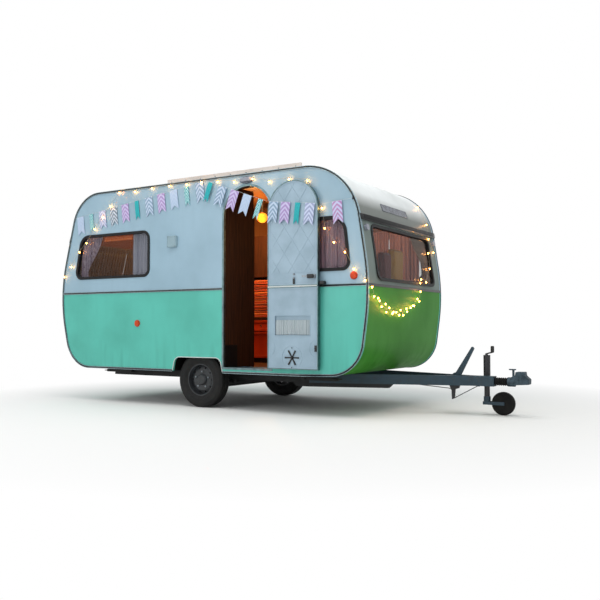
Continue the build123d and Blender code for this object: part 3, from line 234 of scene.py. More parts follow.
def makeRubber(name, colour, dusty, roughness):
    # moulded rubber: black with grey dust in its hollows and a fine skin
    material, tree, shader, place = startMaterial(name, Specular_IOR_Level=0.2)
    dust = noise(tree, place, 15, 7.0)
    share = ramp(tree, dust, 0.4, 0.85)
    tone = blend(tree, share, colour, dusty)
    gloss = ramp(tree, dust, toLow=roughness - 0.1, toHigh=roughness + 0.2)
    fine = noise(tree, place, 1 / rubberSkin, 3.0)
    wire(tree, shader, tone, gloss, fine, 0.0003)
    return material


def makePlastic(name, colour, shade, roughness=0.35, grain=0.006):
    # moulded plastic: even, with a slight bloom, yellowed a touch in places, and a fine moulded skin
    material, tree, shader, place = startMaterial(name, IOR=1.46)
    bloom = noise(tree, place, 6, 5.0)
    share = ramp(tree, bloom, 0.35, 0.85)
    tone = blend(tree, share, colour, shade)
    gloss = ramp(tree, bloom, toLow=roughness - 0.08, toHigh=roughness + 0.16)
    skin = noise(tree, place, 1 / grain, 3.0)
    wire(tree, shader, tone, gloss, skin, 0.0003)
    return material


def makeLens(name, colour, glint):
    # moulded lamp lens: ribs inside the plastic catch the light as bars
    material, tree, shader, place = startMaterial(name, Roughness=0.2, IOR=1.49, Specular_IOR_Level=0.3)
    height = partOf(tree, place, "Z")
    ribs = calc(tree, "SINE", calc(tree, "MULTIPLY", height, 2 * pi / lensRib))
    share = ramp(tree, ribs, -1.0)
    tone = blend(tree, share, colour, glint)
    wire(tree, shader, tone, None, ribs, 0.0006)
    return material


def makeTyre():
    # moulded tyre: dusty black, cut across its ribs by fine sipes, with a ring on each flank
    material, tree, shader, place = startMaterial("mouldedTyre", Specular_IOR_Level=0.35)
    fromHub = addNode(tree, "VectorMath", 0, {0: place, 1: (axleX, 0, axleZ)}, operation="SUBTRACT")
    parts = addNode(tree, "SeparateXYZ", None, {"Vector": fromHub})
    turn = calc(tree, "ARCTAN2", parts.outputs["Z"], parts.outputs["X"])
    wave = calc(tree, "MULTIPLY", turn, tyreLook["sipes"])
    skew = calc(tree, "MULTIPLY_ADD", parts.outputs["Y"], tyreLook["skew"], wave)
    sipes = ramp(tree, calc(tree, "SINE", skew), 0.75, 0.9)
    flat = addNode(tree, "CombineXYZ", 0, {"X": parts.outputs["X"], "Z": parts.outputs["Z"]})
    reach = addNode(tree, "VectorMath", "Value", {0: flat}, operation="LENGTH")
    tread = calc(tree, "GREATER_THAN", reach, tyreLook["tread"])
    cuts = calc(tree, "MULTIPLY", sipes, tread)
    rings = calc(tree, "SINE", calc(tree, "MULTIPLY", reach, 2 * pi / tyreLook["ring"]))
    flank = ramp(tree, reach, tyreLook["flankFrom"], tyreLook["flankTo"])
    rings = calc(tree, "MULTIPLY", rings, flank)
    relief = calc(tree, "MULTIPLY_ADD", cuts, -1.5, rings)
    dust = noise(tree, place, 12, 7.0)
    share = ramp(tree, dust, 0.4, 0.9)
    tone = blend(tree, share, "#0D0D0E", "#2B2925")
    # the sipes are drawn near black: painted shade in the cuts
    tone = blend(tree, cuts, tone, "#030303")
    gloss = ramp(tree, dust, toLow=0.6, toHigh=0.9)
    wire(tree, shader, tone, gloss, relief, 0.002)
    return material


def makePane():
    # acrylic window: clear, a little grey, softly wavy so that it holds broken reflections
    material, tree, shader, place = startMaterial("acrylicPane", Roughness=0.03, Specular_IOR_Level=0.4,
                                                  Alpha=0.2)
    haze = noise(tree, place, 5, 5.0)
    tone = blend(tree, haze, "#1A2024", "#2E363A")
    waves = noise(tree, place, 3.5, 1.0)
    wire(tree, shader, tone, None, waves, 0.004, 0.3)
    return material


def makeRail():
    # drawn aluminium rail with a dark filler strip in its groove: the filler stands lower than the lips.
    # At the front and rear ends no part of the rail reaches past the sides, so all of it is drawn dark there:
    # painted shade for the shadow line under the roof's lip.
    material, tree, shader, place = startMaterial("railWithFillerAndPaintedShade", Coat_Weight=0.1)
    out = calc(tree, "ABSOLUTE", partOf(tree, place, "Y"))
    lip = ramp(tree, out, sideY + fillerAndShadeEdge[0], sideY + fillerAndShadeEdge[1])
    scuff = noise(tree, place, 45, 6.0)
    share = ramp(tree, scuff, 0.4, 0.9)
    greyPart = blend(tree, share, "#8FA3A8", "#5B6A70")
    tone = blend(tree, lip, "#15171A", greyPart)
    metal = calc(tree, "MULTIPLY", lip, 0.85)
    tree.links.new(metal, shader.inputs["Metallic"])
    gloss = ramp(tree, scuff, toLow=0.25, toHigh=0.5)
    wire(tree, shader, tone, gloss, scuff, 0.0006)
    return material


def makeTimber(name, colour, figureColour, grainWidth=0.012, roughness=0.4):
    # veneer and ply: long fine grain up the board under satin varnish
    material, tree, shader, place = startMaterial(name, Specular_IOR_Level=0.3)
    along = stretch(tree, place, (1, 1, 0.05))
    grain = noise(tree, along, 1 / grainWidth, 7.0, 0.8)
    share = ramp(tree, grain, 0.3, 0.72)
    tone = blend(tree, share, colour, figureColour)
    gloss = ramp(tree, grain, toLow=roughness - 0.1, toHigh=roughness + 0.2)
    wire(tree, shader, tone, gloss, grain, 0.0004)
    return material


def makeCloth(name, colours, stripe, thread, sheen=0.3, axis="X", glow=0.0):
    # woven cover or curtain: stripes of three yarn colours across it, and the weave's threads in relief
    material, tree, shader, place = startMaterial(name, Roughness=0.9, Sheen_Weight=sheen,
                                                  Sheen_Roughness=0.5)
    parts = addNode(tree, "SeparateXYZ", None, {"Vector": place})
    drift = noise(tree, place, 7.0, 3.0)
    across = calc(tree, "MULTIPLY", parts.outputs[axis], 1 / stripe)
    across = calc(tree, "MULTIPLY_ADD", drift, 0.5, across)
    bands = addNode(tree, "TexNoise", "Fac", {"W": across, "Scale": 1.0, "Detail": 2.5},
                    noise_dimensions="1D")
    first = ramp(tree, bands, 0.47, 0.5)
    second = ramp(tree, bands, 0.57, 0.6)
    tone = blend(tree, first, colours[0], colours[1])
    tone = blend(tree, second, tone, colours[2])
    threads = []
    for way in ("X", "Z"):
        phase = calc(tree, "MULTIPLY", parts.outputs[way], 2 * pi / thread)
        threads.append(calc(tree, "SINE", phase))
    weave = calc(tree, "MULTIPLY", threads[0], threads[1])
    if glow:
        shader.inputs["Emission Strength"].default_value = glow
        tree.links.new(tone, shader.inputs["Emission Color"])
    wire(tree, shader, tone, None, weave, 0.0006)
    return material


def makeCard(name, ground, mark, teeth):
    # printed card: chevrons of one ink on a pale ground, laid out on the card's own map; matt
    material, tree, shader, place = startMaterial(name, Roughness=0.75)
    parts = addNode(tree, "SeparateXYZ", None, {"Vector": addNode(tree, "TexCoord", "UV")})
    middle = calc(tree, "ABSOLUTE", calc(tree, "SUBTRACT", parts.outputs["X"], 0.5))
    rise = calc(tree, "MULTIPLY_ADD", middle, 0.42, parts.outputs["Y"])
    wave = calc(tree, "SINE", calc(tree, "MULTIPLY", rise, 2 * pi * teeth))
    share = ramp(tree, wave, -0.08, 0.08)
    tone = blend(tree, share, ground, mark)
    tooth = noise(tree, place, 400, 2.0)
    gloss = ramp(tree, tooth, toLow=0.65, toHigh=0.85)
    wire(tree, shader, tone, gloss, tooth, 0.0002)
    return material


def makeWarmGlass():
    # frosted bulb over a filament: the glass glows warm all through, its tone wandering a little
    material, tree, shader, place = startMaterial("warmBulbGlass", Roughness=0.3, Emission_Strength=34.0)
    spread = noise(tree, place, 9, 1.0)
    tone = blend(tree, spread, "#FF9C38", "#FFB458")
    tree.links.new(tone, shader.inputs["Emission Color"])
    wire(tree, shader, tone)
    return material


anodised = makeMetal("anodisedAluminium", "#A9B7BC", "#7E8B90", 0.34, 0.003)
darkFrame = makeMetal("weatheredFrame", "#6F8588", "#4D5E62", 0.4, 0.003)
zincPlate = makeMetal("dullZincPlate", "#8A9298", "#5F656A", 0.42, 0.006)
darkChrome = makeMetal("darkenedChrome", "#6E737C", "#4A4E56", 0.25, 0.004)
chromePlate = makeMetal("chromePlate", "#C6CCD0", "#8D9499", 0.14, 0.004)
castCoupling = makeMetal("greyCastIron", "#4C5A63", "#2E363B", 0.55, 0.008)
slateEnamel = makeEnamel("slateEnamel", "#1C333F", "#284150", "#4A3E34")
coldBlack = makeEnamel("blackenedSteel", "#18181C", "#2A2A30", "#3A3430", 0.38)
underseal = makeEnamel("blackUnderseal", "#0E0F11", "#1C1D1E", "#2B241E", 0.6)
wheelEnamel = makeEnamel("darkWheelEnamel", "#1A1C1F", "#34393D", "#4A4038", 0.4)
gripEnamel = makeEnamel("blackGripEnamel", "#0C0D0E", "#1A1B1C", "#3A3D40", 0.35)
sealRubber = makeRubber("windowRubber", "#0D0E10", "#222426", 0.45)
wheelRubber = makeRubber("jockeyRubber", "#0C0C0D", "#272623", 0.7)
gaiterRubber = makeRubber("gaiterRubber", "#0A0A0B", "#1C1C1C", 0.5)
tyreRubber = makeTyre()
doorLiner = makePlastic("mouldedDoorLiner", "#9FB7C7", "#8AA2B1", 0.34)
utilityCover = makePlastic("greyInletCover", "#93ADB7", "#7F969E", 0.45)
boardPaint = makePlastic("paintedBoard", "#DDD0C6", "#C4B8AE", 0.5, 0.02)
hatchPlastic = makePlastic("milkyHatchPlastic", "#CDD2D0", "#B4BAB8", 0.3)
blackPlastic = makePlastic("blackPlastic", "#141516", "#232527", 0.4)
amberLens = makeLens("amberLens", "#A02806", "#E8521A")
redLens = makeLens("redLens", "#7A0D08", "#B01810")
frostedLens = makeLens("frostedLens", "#7E828E", "#A6AAB4")
pane = makePane()
rail = makeRail()
darkVeneer = makeTimber("darkVeneer", "#46240F", "#241109", 0.012, 0.55)
oliveCloth = makeCloth("oliveBlindCloth", ("#5A4E2E", "#4C4226", "#665A38"), 0.02, 0.003, 0.2)
floorPly = makeTimber("varnishedPly", "#5E4530", "#40301F", 0.02)
# below, and inside the wheel boxes, the floor's faces that don't look up are drawn near black:
# painted shade. Only what looks up shows the ply
plyTree = floorPly.node_tree
plyShader = plyTree.nodes["Principled BSDF"]
plyTone = plyShader.inputs["Base Color"].links[0].from_socket
plyUp = partOf(plyTree, addNode(plyTree, "NewGeometry", "Normal"), "Z")
plyUp = calc(plyTree, "GREATER_THAN", plyUp, 0.5)
plyTone = blend(plyTree, plyUp, "#101112", plyTone)
plyTree.links.new(plyTone, plyShader.inputs["Base Color"])
treadPaint = makePlastic("blueGreyTread", "#456577", "#35505F", 0.5)
seatCloth = makeCloth("stripedSeatCover", ("#8F2A10", "#B5481C", "#C77A2A"), 0.05, 0.004)
ochreCloth = makeCloth("ochreCushionCover", ("#B9832C", "#C8953C", "#A8731F"), 0.09, 0.004)
maroonCloth = makeCloth("maroonCushionCover", ("#5E1416", "#701A1A", "#4A1012"), 0.09, 0.004)
blanketCloth = makeCloth("stripedBlanket", ("#B8400F", "#E27A30", "#6A170B"), 0.028, 0.005, 0.5, "Z")
curtainCloth = makeCloth("printedCurtain", ("#8C7C8E", "#B0A0AE", "#7A6470"), 0.03, 0.003, 0.3)
roseCloth = makeCloth("roseCurtain", ("#97788A", "#B292A2", "#7E6174"), 0.03, 0.003, 0.3)
laceCloth = makeCloth("laceCurtain", ("#A2A4B6", "#C2C4D2", "#84869A"), 0.03, 0.003, 0.3)
brownCloth = makeCloth("brownPrintCurtain", ("#80644F", "#9A7E66", "#5E4636"), 0.02, 0.003, 0.3)
# the valance's cloth also glows a little by itself: painted light, as from the cabin lamp
valanceCloth = makeCloth("orangeValanceWithPaintedGlow", ("#C25A1E", "#D9772E", "#A84614"), 0.05, 0.003, 0.3, "Z", 0.3)
pocketCloth = makeCloth("palePocketCloth", ("#A9B6BC", "#B9C4C8", "#98A6AC"), 0.02, 0.003, 0.2)
lanternPaper = makeCloth("glowingLanternPaper", ("#F2801E", "#FF9A2A", "#E86A10"), 0.08, 0.01, 0.1, "Z", 1.6)
redPaint = makePlastic("redKitchenPaint", "#D8461A", "#B8360E", 0.35, 0.01)
yellowPaint = makePlastic("yellowKitchenPaint", "#E09A28", "#C47E1A", 0.35, 0.01)
palePaint = makePlastic("palePaint", "#D6DAD8", "#BEC4C2", 0.45, 0.01)
platePaint = makePlastic("blankPlateWhite", "#E2E2DC", "#CFCFC8", 0.3, 0.01)
clearWire = makePlastic("clearWire", "#B9AE98", "#9C927E", 0.3, 0.004)
warmGlass = makeWarmGlass()
blueGreyCard = makeCard("blueGreyChevrons", "#C2D2E6", "#8AA4BE", 4)
blueLilacCard = makeCard("blueLilacChevrons", "#CED6EE", "#A0AACC", 4)
lilacCard = makeCard("lilacChevrons", "#CBC2E4", "#AC92C8", 4)
pinkLilacCard = makeCard("pinkLilacChevrons", "#C9CCEC", "#B88CC0", 4)
tealCard = makeCard("tealChevrons", "#BFE2E8", "#2A9EA0", 5)
plainTealCard = makeCard("plainTealCard", "#1FA6AE", "#2AB0B4", 5)
plainBlueCard = makeCard("plainBlueCard", "#B4C8E2", "#BCCEE6", 4)
linedCard = makeCard("linedCard", "#CCD6E2", "#7C8896", 4)
print("finishes ready:", len(bpy.data.materials))

# the finish of each piece of the model
finishes = (
    (paints["iceBlueGloss"], "side_right_upper side_left_upper rear_upper"),
    (paints["greyGreenGloss"], "front_upper"),
    (paints["roofWhiteGloss"], "roof"),
    (paints["mintGloss"], "side_right_lower side_left_lower rear_lower"),
    (paints["leafGreenGloss"], "front_lower"),
    (floorPly, "floor"),
    (sealRubber, "window_seals"),
    (pane, "window_panes"),
    (rail, "body_trim"),
    (darkFrame, "door_frame door_upper_edging door_lower_edging"),
    (zincPlate, "door_hinges door_handle"),
    (doorLiner, "door_upper door_lower"),
    (coldBlack, "door_latch brake_relay jockey_tube jockey_clamp jockey_leg"),
    (blackPlastic, "door_vent"),
    (utilityCover, "utility_box"),
    (amberLens, "side_markers"),
    (frostedLens, "white_lamps"),
    (redLens, "rear_lamps"),
    (boardPaint, "roof_board"),
    (anodised, "hatch_frame"),
    (hatchPlastic, "hatch_lid"),
    (underseal, "chassis_frame axle steady_brackets steady_front_right steady_front_left steady_rear_right "
                "steady_rear_left"),
    (slateEnamel, "drawbar brake_lever jockey_fork"),
    (gaiterRubber, "bellows"),
    (castCoupling, "coupling_head"),
    (tyreRubber, "tyre_right tyre_left"),
    (wheelEnamel, "rim_right rim_left"),
    (wheelRubber, "jockey_wheel"),
    (darkVeneer, "cabinets benches"),
    (blanketCloth, "blankets"),
    (seatCloth, "cushions_front cushions_rear"),
    (ochreCloth, "cabin_lamp"),
    (curtainCloth, "curtains_right curtains_left curtains_ends"),
)
for material, names in finishes:
    for name in names.split():
        nodes[name].data.materials.clear()
        nodes[name].data.materials.append(material)
print("finishes set:", len(finishes))


bothSides = (("Right", -1), ("Left", 1))
toRight, toLeft, forward, upward = (0, -1, 0), (0, 1, 0), (1, 0, 0), (0, 0, 1)
alongY = (pi / 2, 0, 0)      # turns a piece that stands upright until it lies across the caravan


def at(x, y, height):
    # a place ahead of the axle, across, and above the ground
    return axleX + x, y, groundZ + height


def pick(piece):
    bpy.ops.object.select_all(action="DESELECT")
    piece.select_set(True)
    bpy.context.view_layer.objects.active = piece


def bake(*what):
    # puts the picked piece's place into its mesh: all of it, or only what is named
    kinds = ("location", "rotation", "scale")
    bpy.ops.object.transform_apply(**{kind: not what or kind in what for kind in kinds})


def primitive(kind, **settings):
    # a starting shape, alone selected, to be worked on in edit mode
    bpy.ops.object.select_all(action="DESELECT")
    getattr(bpy.ops.mesh, f"primitive_{kind}_add")(**settings)
    return bpy.context.object


def block(place, size):
    piece = primitive("cube", size=1, location=place, scale=size)
    bake("scale")
    return piece


def openAll(piece):
    pick(piece)
    bpy.ops.object.mode_set(mode="EDIT")
    bpy.ops.mesh.select_all(action="SELECT")


def closeEdit():
    bpy.ops.object.mode_set(mode="OBJECT")


def selectPart(piece, domain, test):
    # opens the piece in edit mode with the faces, edges or points that pass the test selected
    pick(piece)
    bpy.ops.object.mode_set(mode="EDIT")
    bpy.ops.mesh.select_mode(type=domain)
    mesh = bmesh.from_edit_mesh(piece.data)
    mesh.normal_update()
    for item in {"FACE": mesh.faces, "EDGE": mesh.edges, "VERT": mesh.verts}[domain]:
        if domain == "FACE":
            item.select_set(test(item.calc_center_median(), item.normal))
        elif domain == "EDGE":
            item.select_set(test((item.verts[0].co + item.verts[1].co) / 2))
        else:
            item.select_set(test(item.co))
    mesh.select_flush_mode()
    bmesh.update_edit_mesh(piece.data)


def facing(*ways):
    # a test for faces that look one of these ways
    return lambda centre, normal: any(normal.dot(Vector(way)) > 0.9 for way in ways)


def inset(width, depth=0.0):
    bpy.ops.mesh.inset(thickness=width, depth=depth)


def stretchPart(*scale):
    bpy.ops.transform.resize(value=scale)


def drawOut(*move):
    bpy.ops.mesh.extrude_region_move(TRANSFORM_OT_translate={"value": move})


def sink(piece, way, *steps):
    # insets what looks one way, by a width and a depth at each step
    selectPart(piece, "FACE", facing(way))
    for step in steps:
        inset(*step)
    closeEdit()


def roundEdges(piece, width, segments=2):
    # softens every edge of the piece
    pick(piece)
    bake("scale")
    openAll(piece)
    bpy.ops.mesh.bevel(offset=width, segments=segments, affect="EDGES")
    closeEdit()


def finishWith(piece, kind, **settings):
    # adds a modifier and applies it
    pick(piece)
    modifier = piece.modifiers.new(kind.lower(), kind)
    for key, value in settings.items():
        setattr(modifier, key, value)
    bpy.ops.object.modifier_apply(modifier=modifier.name)


def settle(piece, name, material, body, angle=35):
    # names a finished piece, puts its place into its mesh, smooths it, and gives it its finish and its body
    pick(piece)
    piece.name = name
    bake()
    openAll(piece)
    bpy.ops.mesh.normals_make_consistent(inside=False)
    closeEdit()
    bpy.ops.object.shade_smooth_by_angle(angle=radians(angle))
    piece.data.materials.clear()
    piece.data.materials.append(material)
    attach(piece, body)
    return piece


def roundedBlock(name, place, size, edge, material, body, segments=2):
    piece = block(place, size)
    roundEdges(piece, edge, segments)
    return settle(piece, name, material, body)


def joinUp(parts):
    # several meshes as one, each with its place put into it first
    for part in parts:
        pick(part)
        bake()
    for part in parts:
        part.select_set(True)
    bpy.context.view_layer.objects.active = parts[0]
    if len(parts) > 1:
        bpy.ops.object.join()
    return bpy.context.object


def copyAt(piece, place):
    copied = piece.copy()
    copied.data = piece.data.copy()
    scene.collection.objects.link(copied)
    copied.location = place
    copied.rotation_euler = (0, 0, 0)
    return copied


def clothMesh(name, points, columns, rows):
    # a sheet laid out point by point, row by row
    step = columns + 1
    faces = [(j * step + i, j * step + i + 1, (j + 1) * step + i + 1, (j + 1) * step + i)
             for j in range(rows) for i in range(columns)]
    mesh = bpy.data.meshes.new(name)
    mesh.from_pydata([tuple(point) for point in points], [], faces)
    piece = bpy.data.objects.new(name, mesh)
    scene.collection.objects.link(piece)
    return piece


def roundBar(name, points, radius, sides=3, order=2, closed=False):
    # a wire, hem or piping: a round bar along a line of points
    curve = bpy.data.curves.new(name, "CURVE")
    curve.dimensions = "3D"
    curve.bevel_depth = radius
    curve.bevel_resolution = sides
    curve.use_fill_caps = not closed
    line = curve.splines.new("NURBS")
    line.points.add(len(points) - 1)
    for point, place in zip(line.points, points):
        point.co = (*place, 1.0)
    line.order_u = order
    line.use_cyclic_u = closed
    line.use_endpoint_u = not closed
    bar = bpy.data.objects.new(name, curve)
    scene.collection.objects.link(bar)
    pick(bar)
    bpy.ops.object.convert(target="MESH")
    return bpy.context.object


def faceOf(node, start, towards):
    # the point where a line from start first meets a CAD node, and the way that its surface faces there
    hit = nodes[node].ray_cast(Vector(start), Vector(towards))
    if not hit[0]:
        raise ValueError(f"no surface of {node} there")
    return hit[1], hit[2]


# Curtains: gathered cloth on a wire, with folds that deepen towards the hem. Each hangs where its CAD
# panel is, and some are drawn aside by a tie.
curtain = {
    "thickness": 0.0012,
    "foldDepth": 0.0075,
    "foldWidth": 0.045,
    "rows": 28,
    "columnsPerFold": 8,
    "gap": 0.006,            # left between the cloth and the panel's ends
    "headFolds": 0.4,        # the folds' depth at the head, as a share of their full depth
    "deepening": 2.2,
    "wander": 0.9,
    "halfFolds": 0.3,
}
tieBack = {"height": 0.24, "hem": 0.44, "waist": 0.32, "curve": 1.3}     # all but the curve are shares


def hangCloth(name, placeAt, folds, material, narrowing=None, depth=None, body="body"):
    # placeAt(share along, share up, push) gives a point; narrowing gives the share of the width at a height
    columns = folds * curtain["columnsPerFold"]
    rows = curtain["rows"]
    reach = curtain["foldDepth"] if depth is None else depth
    lines = []
    for j in range(rows + 1):
        up = j / rows
        narrow = narrowing(up) if narrowing else 1.0
        swell = curtain["headFolds"] + (1 - curtain["headFolds"]) * min(1.0, (1 - up) * curtain["deepening"])
        line = []
        for i in range(columns + 1):
            along = i / columns
            wave = sin(2 * pi * folds * along + curtain["wander"] * sin(5 * along + 2 * up))
            wave += curtain["halfFolds"] * sin(pi * folds * along + 3 * up)
            push = reach * swell * wave / (1 + curtain["halfFolds"])
            line.append(Vector(placeAt(along * narrow, up, push)))
        lines.append(line)
    sheet = clothMesh(name, [point for line in lines for point in line], columns, rows)
    piece = settle(sheet, name, material, body, 80)
    finishWith(piece, "SOLIDIFY", thickness=curtain["thickness"], offset=0)
    return piece


def drawnAside(up):
    # tied back low down: full width at the head, a third of it at the tie, a little more at the hem
    tie, waist = tieBack["height"], tieBack["waist"]
    if up < tie:
        return tieBack["hem"] - (tieBack["hem"] - waist) * up / tie
    return waist + (1 - waist) * sin(pi / 2 * (up - tie) / (1 - tie)) ** tieBack["curve"]


def foldsIn(width):
    return max(3, round(abs(width) / curtain["foldWidth"]))


# each side curtain hangs from its first place towards its second, and is drawn back to the first
sideCurtains = (
    ("rearWindowCurtainBack", -1.786, -1.428, curtainCloth, drawnAside),
    ("rearWindowCurtainFore", -0.647, -0.955, laceCloth, None),
    ("frontWindowCurtainBack", 1.036, 1.385, roseCloth, None),
    ("frontWindowCurtainFore", 1.760, 1.395, roseCloth, None),
)
for sideName, side in bothSides:
    node = "curtains_" + sideName.lower()
    low, high, wallY = lowOf(node).z + curtain["gap"], highOf(node).z - curtain["gap"], middleOf(node).y
    for name, first, last, material, narrowing in sideCurtains:
        def sidePlace(along, up, push):
            return axleX + first + along * (last - first), wallY + push, low + up * (high - low)

        hung = hangCloth(name + sideName, sidePlace, foldsIn(last - first), material, narrowing)
        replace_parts(hung, node)

# the middle of the end curtains' panel leans with the end wall, and bows out below a height
endPanels = {
    "front": {"foot": 2.021, "lean": -0.1567, "inset": -0.0283, "bowBelow": 1.502, "bow": -1 / 4.0,
              "off": -0.010},
    "rear": {"foot": -2.104, "lean": 0.2578, "inset": 0.0289, "bowBelow": 1.599, "bow": 1 / (3.2 * 0.968 ** 2),
             "off": 0.010},
}
endPanelFoot = 1.215
endCurtains = (
    ("frontCurtainLeft", "front", 0.795, 0.305, brownCloth, drawnAside),
    ("frontCurtainRight", "front", -0.795, -0.625, brownCloth, None),
    ("rearCurtainLeft", "rear", 0.795, 0.003, oliveCloth, None),
    ("rearCurtainRight", "rear", -0.795, -0.003, oliveCloth, None),
)
endLow = lowOf("curtains_ends").z - groundZ + curtain["gap"]
endHigh = highOf("curtains_ends").z - groundZ - curtain["gap"]
for name, end, first, last, material, narrowing in endCurtains:
    panel = endPanels[end]

    def endPlace(along, up, push):
        height = endLow + up * (endHigh - endLow)
        wall = (panel["foot"] + (height - endPanelFoot) * panel["lean"] + panel["inset"]
                + max(0.0, panel["bowBelow"] - height) ** 2 * panel["bow"])
        return axleX + wall + push + panel["off"], first + along * (last - first), groundZ + height

    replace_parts(hangCloth(name, endPlace, foldsIn(last - first), material, narrowing), "curtains_ends")
print("curtains hung")


# A pleated valance across the head of each rear side window, hung between the two curtains.
valance = {"from": -1.412, "to": -0.968, "drop": 0.13, "foldWidth": 0.03, "foldDepth": 0.005}
for sideName, side in bothSides:
    node = "curtains_" + sideName.lower()
    top, wallY = highOf(node).z - curtain["gap"], middleOf(node).y

    def valancePlace(along, up, push):
        return (axleX + valance["from"] + along * (valance["to"] - valance["from"]), wallY + push,
                top - (1 - up) * valance["drop"])

    folds = round((valance["to"] - valance["from"]) / valance["foldWidth"])
    hangCloth("rearWindowValance" + sideName, valancePlace, folds, valanceCloth, depth=valance["foldDepth"])
print("valances hung")


# An olive blind drawn down behind the far rear window, between its curtains.
blind = {"from": -1.405, "to": -0.975, "low": 1.345, "thickness": 0.0008, "columns": 12, "rows": 20,
         "ripple": 0.0015, "covered": 0.5}      # covered: how much of the valance's drop hides its head
blindTop = highOf("curtains_left").z - curtain["gap"] - valance["drop"] * blind["covered"]
blindLow = groundZ + blind["low"]
blindY = middleOf("curtains_left").y
blindWide = blind["to"] - blind["from"]
blindPoints = []
for j in range(blind["rows"] + 1):
    for i in range(blind["columns"] + 1):
        blindPoints.append((axleX + blind["from"] + blindWide * i / blind["columns"],
                            blindY + blind["ripple"] * sin(1.7 * j),
                            blindLow + (blindTop - blindLow) * j / blind["rows"]))
rolled = settle(clothMesh("blind", blindPoints, blind["columns"], blind["rows"]), "rearWindowBlindLeft",
                oliveCloth, "body", 80)
finishWith(rolled, "SOLIDIFY", thickness=blind["thickness"], offset=0)
print("blind drawn")


# Seat and back cushions: foam in a cover, blown up a little by a cloth simulation, with a piped seam
# round the top and the bottom face.
cushion = {
    "voxel": 0.014,
    "inset": 0.010,          # the starting shape stands this far inside its CAD space
    "rounding": 0.03,
    "pressure": 4.0,
    "tension": 12,
    "bending": 1.5,
    "frames": 20,
    "cap": 0.009,            # how far a point may move
    "piping": 0.0045,
    "seamDrop": 0.018,       # from the top or bottom face to the seam
    "seamCorner": 0.05,
    "seamStep": 0.08,
}


def seamLoop(low, high, crownAxis, end):
    # points round the cushion at the level of one seam, with rounded corners
    u, v = [axis for axis in range(3) if axis != crownAxis]
    drop = cushion["inset"] + cushion["seamDrop"]
    corner = cushion["seamCorner"]
    loop = []
    for quarter, (uHigh, vHigh) in enumerate(((1, 1), (0, 1), (0, 0), (1, 0))):
        for turn in range(5):
            angle = pi / 2 * (quarter + turn / 4)
            point = [0, 0, 0]
            point[crownAxis] = high[crownAxis] - drop if end else low[crownAxis] + drop
            point[u] = (high[u] - corner if uHigh else low[u] + corner) + corner * cos(angle)
            point[v] = (high[v] - corner if vHigh else low[v] + corner) + corner * sin(angle)
            loop.append(Vector(point))
    points = []
    for a, b in zip(loop, loop[1:] + loop[:1]):
        parts = max(1, round((b - a).length / cushion["seamStep"]))
        points += [a.lerp(b, k / parts) for k in range(parts)]
    return points


def makeCushion(name, low, high, material, crownAxis=2):
    size = [b - a - 2 * cushion["inset"] for a, b in zip(low, high)]
    place = [(a + b) / 2 for a, b in zip(low, high)]
    node = "cushions_front" if place[0] > axleX else "cushions_rear"
    piece = block(place, size)
    roundEdges(piece, cushion["rounding"], 4)
    piece.data.remesh_voxel_size = cushion["voxel"]
    bpy.ops.object.voxel_remesh()
    before = [v.co.copy() for v in piece.data.vertices]
    modifier = piece.modifiers.new("cloth", "CLOTH")
    cloth = modifier.settings
    cloth.use_pressure = True
    cloth.uniform_pressure_force = cushion["pressure"]
    cloth.effector_weights.gravity = 0
    cloth.tension_stiffness = cushion["tension"]
    cloth.bending_stiffness = cushion["bending"]
    modifier.point_cache.frame_start = 1
    modifier.point_cache.frame_end = cushion["frames"]
    for step in range(1, cushion["frames"] + 1):
        scene.frame_set(step)
    swollen = piece.evaluated_get(bpy.context.evaluated_depsgraph_get()).data
    after = [v.co.copy() for v in swollen.vertices]
    piece.modifiers.remove(modifier)
    for vertex, start, end in zip(piece.data.vertices, before, after):
        move = end - start
        vertex.co = start + move * min(1.0, cushion["cap"] / max(move.length, 1e-6))
    scene.frame_set(1)
    finishWith(piece, "SUBSURF", levels=1, render_levels=1)
    settle(piece, name, material, "body", 80)
    # the piping follows the cover's seams, laid on the swollen surface
    for end in (0, 1):
        laid = [piece.closest_point_on_mesh(point)[1] for point in seamLoop(low, high, crownAxis, end)]
        rope = roundBar(name + "Piping", laid, cushion["piping"], 2, 3, True)
        settle(rope, f"{name}Piping{end + 1}", material, "body", 80)
        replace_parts(rope, node)
    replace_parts(piece, node)


seat = {"low": 0.8003, "high": 0.910, "fill": 0.8, "split": 0.003}
back = {"from": 1.752, "to": 1.848, "fill": 0.75, "sunk": 0.004}
halfWidth = highOf("cushions_front").y
for name, xLow, xHigh in (("frontSeat", 1.245, 1.900), ("rearSeat", -1.940, -1.285)):
    for sideName, yLow, yHigh in (("Right", -halfWidth, -seat["split"]), ("Left", seat["split"], halfWidth)):
        makeCushion(name + sideName, at(xLow, yLow, seat["low"]), at(xHigh, yHigh, seat["high"]), seatCloth)
backLow = groundZ + seat["high"] - back["sunk"]
for name, yLow, yHigh, top, material in (("ochreBackCushion", -0.018, 0.288, 1.672, ochreCloth),
                                         ("maroonBackCushion", -0.258, -0.022, 1.620, maroonCloth)):
    makeCushion(name, (axleX + back["from"], yLow, backLow), at(back["to"], yHigh, top), material,
                0)
print("cushions filled")


